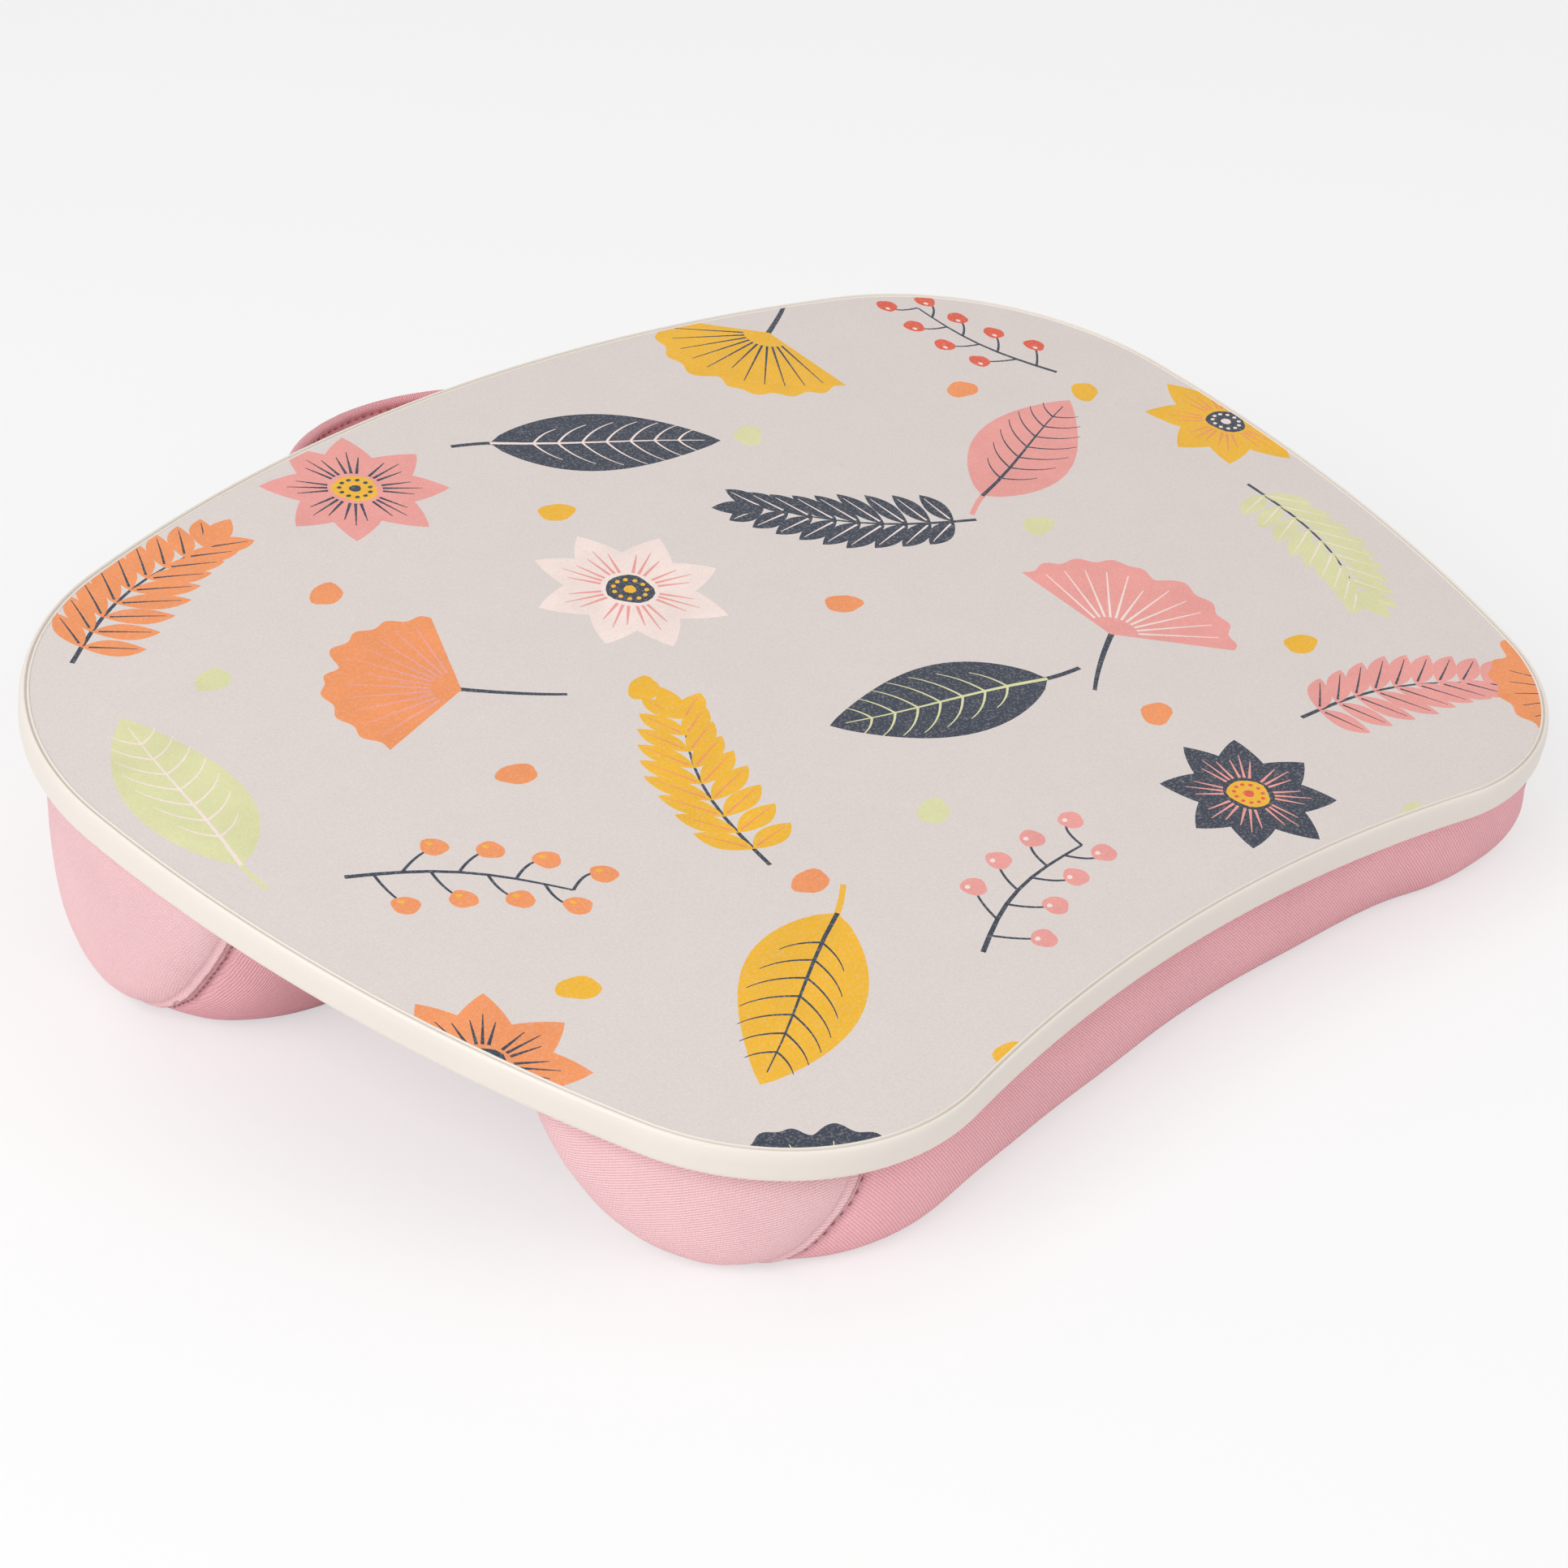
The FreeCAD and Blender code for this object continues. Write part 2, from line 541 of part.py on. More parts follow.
def handle_strap():
    """The bow, drawn about its swing axis, with its two ends rounded about that axis."""
    body = new_body("handle_strap")
    bow = new_sketch(body, "strap_bow", "XY_Plane")
    centre = Vector(0, worth(BOW_CENTRE), 0)
    end_y = worth("-Sizes.strap_width / 2")
    rise = end_y - centre.y
    outer, inner = worth(BOW_OUTER), worth(BOW_INNER)
    outer_end = Vector(math.sqrt(outer ** 2 - rise ** 2), end_y, 0)
    inner_end = Vector(math.sqrt(inner ** 2 - rise ** 2), end_y, 0)
    outer_arc = bow.addGeometry(arc_geometry(centre, outer, outer_end, flipped(outer_end)), False)
    inner_arc = bow.addGeometry(arc_geometry(centre, inner, inner_end, flipped(inner_end)), False)
    right_end = bow.addGeometry(Part.LineSegment(inner_end, outer_end), False)
    left_end = bow.addGeometry(Part.LineSegment(flipped(outer_end), flipped(inner_end)), False)
    tie(bow, "Coincident", inner_arc, START, right_end, START)
    tie(bow, "Coincident", right_end, END, outer_arc, START)
    tie(bow, "Coincident", outer_arc, END, left_end, START)
    tie(bow, "Coincident", left_end, END, inner_arc, END)
    tie(bow, "Coincident", outer_arc, CENTRE, inner_arc, CENTRE)
    tie(bow, "Horizontal", right_end)
    tie(bow, "Horizontal", left_end)
    hold_place(bow, (outer_arc, CENTRE), "0", BOW_CENTRE)
    hold(bow, "Radius", (outer_arc,), BOW_OUTER)
    hold(bow, "Radius", (inner_arc,), BOW_INNER)
    for line in (right_end, left_end):
        hold(bow, "DistanceY", (line, START, *ROOT_POINT), "Sizes.strap_width / 2")
    pad = add_pad(body, bow, "Sizes.strap_width", both_ways=True)
    ease_long_edges(body, pad)

    ends = new_sketch(body, "strap_ends", "YZ_Plane")
    half = worth("Sizes.strap_width / 2")
    for up, sign in ((1, ""), (-1, "-")):
        corners = (
            ("0", f"{sign}(Sizes.strap_width / 2)"),
            ("0", f"{sign}(Sizes.strap_width / 2 + Sizes.cut_overrun)"),
            ("-(Sizes.strap_width / 2 + Sizes.cut_overrun)", f"{sign}(Sizes.strap_width / 2 + Sizes.cut_overrun)"),
            ("-(Sizes.strap_width / 2 + Sizes.cut_overrun)", "0"),
            ("-(Sizes.strap_width / 2)", "0"),
        )
        places = [Vector(worth(along), worth(level), 0) for along, level in corners]
        lines = [ends.addGeometry(Part.LineSegment(*pair), False) for pair in zip(places, places[1:])]
        first, last = (places[0], places[-1]) if up > 0 else (places[-1], places[0])
        arc = ends.addGeometry(arc_geometry(Vector(0, 0, 0), half, first, last), False)
        top_end, side_end = (START, END) if up > 0 else (END, START)
        for before, after in zip(lines, lines[1:]):
            tie(ends, "Coincident", before, END, after, START)
        tie(ends, "Coincident", lines[-1], END, arc, side_end)
        tie(ends, "Coincident", arc, top_end, lines[0], START)
        tie(ends, "Coincident", arc, CENTRE, *ROOT_POINT)
        hold(ends, "Radius", (arc,), "Sizes.strap_width / 2")
        tie(ends, "PointOnObject", arc, top_end, UPRIGHT_AXIS)
        tie(ends, "PointOnObject", arc, side_end, LEVEL_AXIS)
        for line, place in zip(lines[1:], corners[1:]):
            hold_place(ends, (line, START), *place)
    add_pocket(body, ends, f"2 * ({BOW_OUTER} + Sizes.cut_overrun)", both_ways=True)
    return body


def handle_tab(name, sign):
    """One sewn end of the strap, flat on the rear face of the rear bolster."""
    body = new_body(name)
    strip = new_sketch(body, f"{name}_strip", "XY_Plane", "-Sizes.handle_drop")
    inner_radius = f"(Sizes.rear_radius - {TAB_INSET})"
    outer_radius = f"({inner_radius} + Sizes.strap_thickness)"
    inner, outer = worth(inner_radius), worth(outer_radius)
    near, far = worth(TAB_START), worth(f"{TAB_START} + Sizes.tab_length")
    centre = Outline.rear

    def spot(radius, x):
        return Vector(x, centre.y + math.sqrt(radius ** 2 - x ** 2), 0)

    starts = (far, near) if sign > 0 else (-near, -far)
    inner_arc = strip.addGeometry(arc_geometry(centre, inner, *(spot(inner, x) for x in starts)), False)
    outer_arc = strip.addGeometry(arc_geometry(centre, outer, *(spot(outer, x) for x in starts)), False)
    first = strip.addGeometry(Part.LineSegment(spot(inner, starts[0]), spot(outer, starts[0])), False)
    last = strip.addGeometry(Part.LineSegment(spot(outer, starts[1]), spot(inner, starts[1])), False)
    tie(strip, "Coincident", inner_arc, START, first, START)
    tie(strip, "Coincident", first, END, outer_arc, START)
    tie(strip, "Coincident", outer_arc, END, last, START)
    tie(strip, "Coincident", last, END, inner_arc, END)
    tie(strip, "Coincident", outer_arc, CENTRE, inner_arc, CENTRE)
    tie(strip, "Vertical", first)
    tie(strip, "Vertical", last)
    hold_place(strip, (inner_arc, CENTRE), "0", "Sizes.centre_depth / 2 - Sizes.rear_radius")
    hold(strip, "Radius", (inner_arc,), inner_radius)
    hold(strip, "Radius", (outer_arc,), outer_radius)
    near_line, far_line = (last, first) if sign > 0 else (first, last)
    for line, distance in ((near_line, TAB_START), (far_line, f"{TAB_START} + Sizes.tab_length")):
        ends = (*ROOT_POINT, line, START) if sign > 0 else (line, START, *ROOT_POINT)
        hold(strip, "DistanceX", ends, distance)
    pad = add_pad(body, strip, "Sizes.strap_width", both_ways=True)
    ease_long_edges(body, pad)
    return body


desk = [
    deck_core(),
    deck_layer("top_laminate", TRIM_LIP, "0", "Sizes.laminate_thickness"),
    deck_layer("bottom_laminate", "Sizes.trim_wall", "-(Sizes.laminate_thickness + Sizes.core_thickness)",
               "Sizes.laminate_thickness"),
    edge_trim(),
    deck_layer("base_panel", f"({TRIM_LIP} + Sizes.base_clearance)", DECK_UNDERSIDE, "Sizes.base_thickness"),
    *bolster_features(Bolster("rear", 1)),
    *bolster_features(Bolster("front", -1)),
    handle_tab("handle_left_tab", -1),
    handle_tab("handle_right_tab", 1),
]
strap = handle_strap()
document.recompute()

# Tilts the desk onto the floor, hangs the strap at its axis and centres the whole part over the origin.
stand = Placement(Vector(0, 0, size("ride_height") * math.cos(TILT)), Rotation(Vector(1, 0, 0), math.degrees(TILT)))
for piece in desk:
    piece.Placement = stand
axis_point = stand.multVec(Vector(0, worth(AXIS_Y), -size("handle_drop")))
strap.Placement = Placement(axis_point, Rotation())
document.recompute()
boxes = [piece.Shape.optimalBoundingBox(False) for piece in (*desk, strap)]
centring = Vector(0, -(min(box.YMin for box in boxes) + max(box.YMax for box in boxes)) / 2, 0)
for piece in (*desk, strap):
    piece.Placement = Placement(centring, Rotation()).multiply(piece.Placement)
document.recompute()

for thing in document.Objects:
    if "Invalid" in thing.State or "Error" in thing.State:
        raise RuntimeError(f"{thing.Name} failed: {thing.State}")
for piece in (*desk, strap):
    if piece.Shape.isNull() or not piece.Shape.isValid() or len(piece.Shape.Solids) != 1:
        raise RuntimeError(f"{piece.Label} is not one valid solid")

os.makedirs("parts", exist_ok=True)
for piece in (*desk, strap):
    piece.Shape.exportStep(f"parts/{piece.Label}.step")
    box = piece.Shape.optimalBoundingBox(False)
    print(f"{piece.Label}: {box.XLength:.2f} x {box.YLength:.2f} x {box.ZLength:.2f} mm, "
          f"{piece.Shape.Volume / 1000:.2f} cm3")
print("swing axis at", tuple(round(value, 3) for value in strap.Placement.Base))
print("deck origin at", tuple(round(value, 3) for value in desk[0].Placement.Base))
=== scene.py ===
import json
import math

import bmesh
import bpy
import numpy as np
from mathutils import Matrix, Vector, geometry, noise
from mathutils.bvhtree import BVHTree


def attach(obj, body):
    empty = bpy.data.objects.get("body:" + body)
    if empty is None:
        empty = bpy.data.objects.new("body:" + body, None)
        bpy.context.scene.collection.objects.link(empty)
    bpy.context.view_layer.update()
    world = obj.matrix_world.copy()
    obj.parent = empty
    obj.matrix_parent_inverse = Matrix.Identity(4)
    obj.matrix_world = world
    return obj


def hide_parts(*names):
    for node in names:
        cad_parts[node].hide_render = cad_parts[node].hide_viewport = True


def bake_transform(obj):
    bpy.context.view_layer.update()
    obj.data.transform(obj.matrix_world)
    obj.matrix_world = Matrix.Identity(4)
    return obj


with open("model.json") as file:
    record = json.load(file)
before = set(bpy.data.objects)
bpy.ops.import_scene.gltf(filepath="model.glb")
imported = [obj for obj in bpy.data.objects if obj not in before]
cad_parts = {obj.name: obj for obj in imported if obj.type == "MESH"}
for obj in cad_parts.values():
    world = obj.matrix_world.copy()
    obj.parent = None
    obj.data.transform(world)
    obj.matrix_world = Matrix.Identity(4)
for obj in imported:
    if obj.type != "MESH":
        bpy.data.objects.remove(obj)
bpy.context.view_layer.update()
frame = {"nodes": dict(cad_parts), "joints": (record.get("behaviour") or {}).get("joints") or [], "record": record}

# The board frame of the CAD source: origin on the deck, Z out of the deck. Sizes below are millimetres there.
MM = 0.001
DECK = next(mount for mount in frame["record"]["mounts"] if mount["name"] == "deck")
SWING = next(joint for joint in frame["joints"] if joint["name"] == "handle_swing")
TILT = math.atan2(-DECK["axis"][1], DECK["axis"][2])
BOARD = Matrix.Translation(Vector(DECK["pos_m"])) @ Matrix.Rotation(TILT, 4, "X") @ Matrix.Scale(MM, 4)
TO_BOARD = BOARD.inverted()

HALF_WIDTH = 225.0
REAR_Y = 163.2
TOP_LEVEL = -10.2
RIDE_HEIGHT = 76.0
TRIM_LIP = 3.0
BASE_INSET = 4.0
LAMINATE = 0.5
CLOTH_THICK = 1.2

# Radii of the arcs in the deck's outline, and how far ahead of the rear edge the sides' arcs are centred.
REAR_RADIUS = 515.0
SIDE_RADIUS = 482.0
HOLLOW_RADIUS = 513.0
REAR_CORNER = 97.0
FRONT_CORNER = 71.0
SIDE_CENTRE = 114.0


def srgb(red, green, blue):
    """A colour as the screen shows it, turned to linear light."""
    def linear(level):
        level = level / 255
        return level / 12.92 if level <= 0.04045 else ((level + 0.055) / 1.055) ** 2.4
    return (linear(red), linear(green), linear(blue), 1.0)


def toward(start, end):
    return (end - start).normalized()


def crossing(centre_a, radius_a, centre_b, radius_b, preferred):
    """The crossing of two circles that lies furthest along a preferred direction."""
    along = toward(centre_a, centre_b)
    gap = (centre_b - centre_a).length
    reach = (gap ** 2 + radius_a ** 2 - radius_b ** 2) / (2 * gap)
    rise = math.sqrt(radius_a ** 2 - reach ** 2)
    across = Vector((-along.y, along.x))
    points = [centre_a + along * reach + across * side for side in (rise, -rise)]
    return max(points, key=preferred.dot)


def arc(start, middle, end, count):
    """Points along the arc through three points, without the last."""
    first, second = middle - start, end - start
    cross = 2 * (first.x * second.y - first.y * second.x)
    if abs(cross) < 1e-9:
        return [start.lerp(end, step / count) for step in range(count)]
    across = Vector((
        second.y * first.length_squared - first.y * second.length_squared,
        first.x * second.length_squared - second.x * first.length_squared)) / cross
    centre = start + across
    begin = math.atan2(start.y - centre.y, start.x - centre.x)
    turn = math.atan2(end.y - centre.y, end.x - centre.x) - begin
    if cross > 0:
        turn %= 2 * math.pi
    else:
        turn = -((-turn) % (2 * math.pi))
    radius = across.length
    angles = [begin + turn * step / count for step in range(count)]
    return [centre + Vector((math.cos(angle), math.sin(angle))) * radius for angle in angles]


class Outline:
    """The arcs of the deck's right half, at some distance inside the moulding's outer face."""

    rear = Vector((0, REAR_Y - REAR_RADIUS))
    side = Vector((HALF_WIDTH - SIDE_RADIUS, REAR_Y - SIDE_CENTRE))
    hollow = Vector((0, -REAR_Y - HOLLOW_RADIUS))
    rear_corner = crossing(rear, REAR_RADIUS - REAR_CORNER, side, SIDE_RADIUS - REAR_CORNER, Vector((1, 1)))
    front_corner = crossing(
        side, SIDE_RADIUS - FRONT_CORNER, hollow, HOLLOW_RADIUS + FRONT_CORNER, Vector((1, -1)))

    def __init__(self, inset):
        self.rear_radius = REAR_RADIUS - inset
        self.rear_corner_radius = REAR_CORNER - inset
        self.side_radius = SIDE_RADIUS - inset
        self.front_corner_radius = FRONT_CORNER - inset
        self.hollow_radius = HOLLOW_RADIUS + inset
        self.rear_middle = self.rear + Vector((0, self.rear_radius))
        self.rear_joint = self.rear + toward(self.rear, self.rear_corner) * self.rear_radius
        self.upper_joint = self.side + toward(self.side, self.rear_corner) * self.side_radius
        self.lower_joint = self.side + toward(self.side, self.front_corner) * self.side_radius
        self.hollow_joint = self.hollow + toward(self.hollow, self.front_corner) * self.hollow_radius
        self.hollow_middle = self.hollow + Vector((0, self.hollow_radius))

    def corner(self, away):
        """A corner's centre and radius, where it joins the outer arc, and the middle of that arc."""
        if away > 0:
            return self.rear_corner, self.rear_corner_radius, self.rear_joint, self.rear_middle
        return self.front_corner, self.front_corner_radius, self.hollow_joint, self.hollow_middle

    def edge_at(self, y):
        """The point of the right edge at a distance along the tray."""
        centre, radius = self.side, self.side_radius
        if y > self.upper_joint.y:
            centre, radius = self.rear_corner, self.rear_corner_radius
        elif y < self.lower_joint.y:
            centre, radius = self.front_corner, self.front_corner_radius
        return Vector((centre.x + math.sqrt(max(0.0, radius ** 2 - (y - centre.y) ** 2)), y))

    def arcs(self):
        """The centre, start and end of each arc of the right half, from the user edge to the rear."""
        return [
            (self.hollow, self.hollow_middle, self.hollow_joint),
            (self.front_corner, self.hollow_joint, self.lower_joint),
            (self.side, self.lower_joint, self.upper_joint),
            (self.rear_corner, self.upper_joint, self.rear_joint),
            (self.rear, self.rear_joint, self.rear_middle)]

    def loop(self, step):
        """The whole outline as points, counter-clockwise from the middle of the user edge.

        Every inset has the same number of points, so two loops can be joined by faces.
        """
        right = []
        for (centre, start, end), (_, first, last) in zip(self.arcs(), Outline(0.0).arcs()):
            bisector = (toward(centre, start) + toward(centre, end)).normalized()
            count = max(4, round((last - first).length / step))
            right += arc(start, centre + bisector * (start - centre).length, end, count)
        left = [Vector((-spot.x, spot.y)) for spot in reversed(right[1:])]
        return right + [self.rear_middle] + left


def new_object(name, mesh):
    piece = bpy.data.objects.new(name, mesh)
    bpy.context.scene.collection.objects.link(piece)
    return piece


def mesh_of(name, points, faces, smooth=True):
    mesh = bpy.data.meshes.new(name)
    mesh.from_pydata([tuple(point) for point in points], [], faces)
    mesh.update()
    mesh.polygons.foreach_set("use_smooth", [smooth] * len(mesh.polygons))
    return mesh


def ring_faces(rings, count, closed=False):
    """The faces between rings of points that follow one another in a list."""
    faces = []
    for ring in range(rings if closed else rings - 1):
        low, high = ring * count, (ring + 1) % rings * count
        for spot in range(count):
            after = (spot + 1) % count
            faces.append([low + spot, high + spot, high + after, low + after])
    return faces


def used_only(spots, faces):
    """The points that faces use, and the faces with their new numbers."""
    used = sorted({spot for face in faces for spot in face})
    renamed = {spot: number for number, spot in enumerate(used)}
    return [spots[spot] for spot in used], [[renamed[spot] for spot in face] for face in faces]


def rim_edges(faces):
    """The edges that have a face on one side only."""
    edges = dict.fromkeys(edge for face in faces for edge in zip(face, face[1:] + face[:1]))
    return [edge for edge in edges if edge[::-1] not in edges]


def flat_area(loop):
    """The area inside a loop of points, positive where it runs counter-clockwise."""
    return sum(a[0] * b[1] - b[0] * a[1] for a, b in zip(loop, loop[1:] + loop[:1])) / 2


def set_all(target, settings):
    for name, value in settings.items():
        setattr(target, name, value)


# Materials. Each node is added by kind, with its inputs by name or number.
def set_inputs(tree, node, inputs):
    """Links or sets some inputs of a node."""
    for key, value in inputs.items():
        if isinstance(value, bpy.types.NodeSocket):
            tree.links.new(value, node.inputs[key])
        else:
            node.inputs[key].default_value = value


def add(tree, kind, inputs=(), **settings):
    made = tree.nodes.new(kind)
    set_all(made, settings)
    set_inputs(tree, made, dict(inputs))
    return made


def math_node(tree, operation, first, second=0.0):
    return add(tree, "ShaderNodeMath", {0: first, 1: second}, operation=operation).outputs[0]


def noise_node(tree, place, scale, detail=2.0, **more):
    inputs = {"Vector": place, "Scale": scale, "Detail": detail, **more}
    return add(tree, "ShaderNodeTexNoise", inputs).outputs[0]


def mix_node(tree, share, first, second, blend="MIX"):
    """Two colours mixed by a share."""
    inputs = {0: share, 6: first, 7: second}
    return add(tree, "ShaderNodeMix", inputs, data_type="RGBA", blend_type=blend).outputs[2]


def range_node(tree, value, **ends):
    inputs = {"Value": value, **{name.replace("_", " ").title(): end for name, end in ends.items()}}
    return add(tree, "ShaderNodeMapRange", inputs).outputs[0]


def ramp(tree, factor, stops):
    made = add(tree, "ShaderNodeValToRGB", {0: factor})
    elements = made.color_ramp.elements
    while len(elements) < len(stops):
        elements.new(0.5)
    for element, (place, colour) in zip(elements, stops):
        element.position = place
        element.color = colour
    return made.outputs[0]


def roughen(tree, shader, height, strength, distance):
    """Gives a shader a fine relief."""
    bump = add(tree, "ShaderNodeBump", {"Height": height, "Strength": strength, "Distance": distance})
    set_inputs(tree, shader, {"Normal": bump.outputs[0]})


def object_place(tree):
    return add(tree, "ShaderNodeTexCoord").outputs["Object"]


def scaled(colour, level):
    return (colour[0] * level, colour[1] * level, colour[2] * level, 1.0)


def grey(level):
    return (level, level, level, 1.0)


def new_material(name, roughness):
    material = bpy.data.materials.new(name)
    material.use_nodes = True
    shader = material.node_tree.nodes["Principled BSDF"]
    shader.inputs["Roughness"].default_value = roughness
    return material, material.node_tree, shader


def cloth_material(name, colour, rib_pitch=0.74, dot_pitch=0.5, sheen=0.18):
    """A ribbed plain weave that follows each piece's own cloth coordinates, in millimetres."""
    material, tree, shader = new_material(name, 0.82)
    place = add(tree, "ShaderNodeAttribute", attribute_name="weave").outputs["Vector"]
    split = add(tree, "ShaderNodeSeparateXYZ", {0: place})
    shift = math_node(tree, "MULTIPLY", noise_node(tree, place, 0.03, 1.0), 1.2)
    waves = []
    for axis, pitch in enumerate((rib_pitch, dot_pitch)):
        across = math_node(tree, "ADD", split.outputs[axis], shift)
        waves.append(math_node(tree, "SINE", math_node(tree, "MULTIPLY", across, math.pi / pitch)))
    warp, weft = waves
    knots = math_node(tree, "MULTIPLY", math_node(tree, "MULTIPLY", warp, weft), 0.45)
    ribs = math_node(tree, "MULTIPLY", math_node(tree, "ABSOLUTE", warp), 0.9)
    fuzz = math_node(tree, "MULTIPLY", noise_node(tree, place, 1.3, 3.0), 0.4)
    height = math_node(tree, "ADD", math_node(tree, "ADD", knots, ribs), fuzz)
    # The weave's pattern is drawn in colour from its relief: darker in the low gaps between threads and a little
    # paler on the raised threads, which is painted shade and highlight besides the bump.
    tone = range_node(tree, height, from_min=-0.1, from_max=1.55)
    threads = ramp(tree, tone, [(0.0, scaled(colour, 0.6)), (0.5, colour), (1.0, scaled(colour, 1.04))])
    cloud = noise_node(tree, place, 0.022, 3.0)
    patches = ramp(tree, cloud, [(0.3, (0.95, 0.94, 0.945, 1)), (0.7, grey(1.03))])
    cloth = mix_node(tree, 1.0, threads, patches, "MULTIPLY")
    # Painted shade along the seams: the crease attribute darkens the cloth towards half its colour.
    crease = add(tree, "ShaderNodeAttribute", attribute_name="crease").outputs["Fac"]
    sewn = mix_node(tree, crease, cloth, scaled(colour, 0.5))
    roughen(tree, shader, height, 0.7, 0.00035)
    set_inputs(tree, shader, {
        "Base Color": sewn, "Sheen Weight": sheen, "Sheen Roughness": 0.45,
        "Sheen Tint": (1.0, 0.86, 0.87, 1.0), "Specular IOR Level": 0.25})
    return material


def plastic_material(name, colour, roughness, grain, strength):
    """Moulded plastic: a faint uneven tone, painted shade in hollows and a painted highlight on convex edges, and
    a fine grain.
    """
    material, tree, shader = new_material(name, roughness)
    place = object_place(tree)
    cloud = noise_node(tree, place, 26.0, 4.0)
    tones = ramp(tree, cloud, [(0.3, scaled(colour, 0.985)), (0.7, scaled(colour, 1.01))])
    # Painted shade in concave hollows such as the groove, and a painted highlight along convex edges such as the
    # nose, both from the mesh's pointiness.
    bend = add(tree, "ShaderNodeNewGeometry").outputs["Pointiness"]
    hollow_shade_edge_highlight = ramp(tree, bend, [
        (0.42, (0.9, 0.88, 0.85, 1)), (0.495, grey(1.0)), (0.505, grey(1.0)), (0.53, grey(1.06))])
    tones_with_painted_shade = mix_node(tree, 1.0, tones, hollow_shade_edge_highlight, "MULTIPLY")
    rough = range_node(tree, cloud, to_min=roughness - 0.06, to_max=roughness + 0.06)
    set_inputs(tree, shader, {"Base Color": tones_with_painted_shade, "Roughness": rough})
    roughen(tree, shader, noise_node(tree, place, grain, 3.0), strength, 0.0003)
    return material


def ink_material(name, colour, wear):
    """Printed laminate: a soft, slightly worn ink under a fine orange-peel grain."""
    material, tree, shader = new_material(name, 0.55)
    place = object_place(tree)
    wash = noise_node(tree, place, 60.0, 5.0, Roughness=0.6)
    tones = ramp(tree, wash, [(0.28, scaled(colour, 1 - wear)), (0.72, scaled(colour, 1 + wear))])
    specks = noise_node(tree, place, 1300.0)
    bare = range_node(tree, specks, from_min=0.5, from_max=0.75, to_max=4 * wear)
    inked = mix_node(tree, bare, tones, INKS["ground"])
    cells = add(tree, "ShaderNodeTexVoronoi", {"Vector": place, "Scale": 950.0}, feature="SMOOTH_F1")
    peel = noise_node(tree, place, 1500.0)
    fine = ramp(tree, peel, [(0.35, grey(0.965)), (0.65, grey(1.03))])
    grainy = mix_node(tree, 1.0, inked, fine, "MULTIPLY")
    set_inputs(tree, shader, {"Base Color": grainy, "Specular IOR Level": 0.32})
    grain = math_node(tree, "ADD", cells.outputs[0], math_node(tree, "MULTIPLY", peel, 0.6))
    roughen(tree, shader, grain, 0.16, 0.00025)
    return material


def board_material(name, colour):
    """Raw fibreboard: short fibres in two browns."""
    material, tree, shader = new_material(name, 0.9)
    fibres = noise_node(tree, object_place(tree), 420.0, 6.0, Distortion=1.5)
    tones = ramp(tree, fibres, [(0.35, scaled(colour, 0.75)), (0.65, scaled(colour, 1.2))])
    set_inputs(tree, shader, {"Base Color": tones})
    roughen(tree, shader, fibres, 0.3, 0.0003)
    return material


PINK_CLOTH = cloth_material("pink_cloth", srgb(253, 189, 196))
# The end panels' cloth is a paler, less saturated copy of the pink: painted light on the end panels.
PINK_LIT_CAP = cloth_material("pink_end_cloth_painted_light", srgb(253, 207, 211))
PINK_STRAP = cloth_material("pink_strap_cloth", srgb(240, 172, 177))
THREAD = cloth_material("pink_thread", srgb(192, 118, 126), rib_pitch=0.3, dot_pitch=0.3)
CREAM = plastic_material("cream_plastic", srgb(228, 220, 211), 0.38, 900.0, 0.06)
BACKING = plastic_material("backing_sheet", srgb(228, 224, 218), 0.55, 500.0, 0.1)
FIBREBOARD = board_material("fibreboard", srgb(172, 146, 116))


def dress(node, material):
    slots = frame["nodes"][node].data.materials
    slots.clear()
    slots.append(material)


dress("bottom_laminate", BACKING)
dress("deck_core", FIBREBOARD)


def keep_cloth_places(mesh, places):
    """Stores each point's place on the flat cloth, in millimetres, for the weave."""
    layer = mesh.attributes.new("weave", "FLOAT_VECTOR", "POINT")
    layer.data.foreach_set("vector", np.asarray(places, np.float32).ravel())


def fetched(items, name):
    """One vector of each item, such as a point's place or normal, as rows."""
    flat = np.zeros(len(items) * 3, np.float32)
    items.foreach_get(name, flat)
    return flat.reshape(-1, 3).astype(float)


def points_of(mesh):
    return fetched(mesh.vertices, "co")


def put_points(mesh, points):
    mesh.vertices.foreach_set("co", points.astype(np.float32).ravel())
    mesh.update()


def to_board(points):
    matrix = np.array(TO_BOARD)
    return points @ matrix[:3, :3].T + matrix[:3, 3]


# The filling's push is full from this share of the depth down, and starts this far from the valley.
FULL_SHARE = 0.6
FULL_START = 25.0


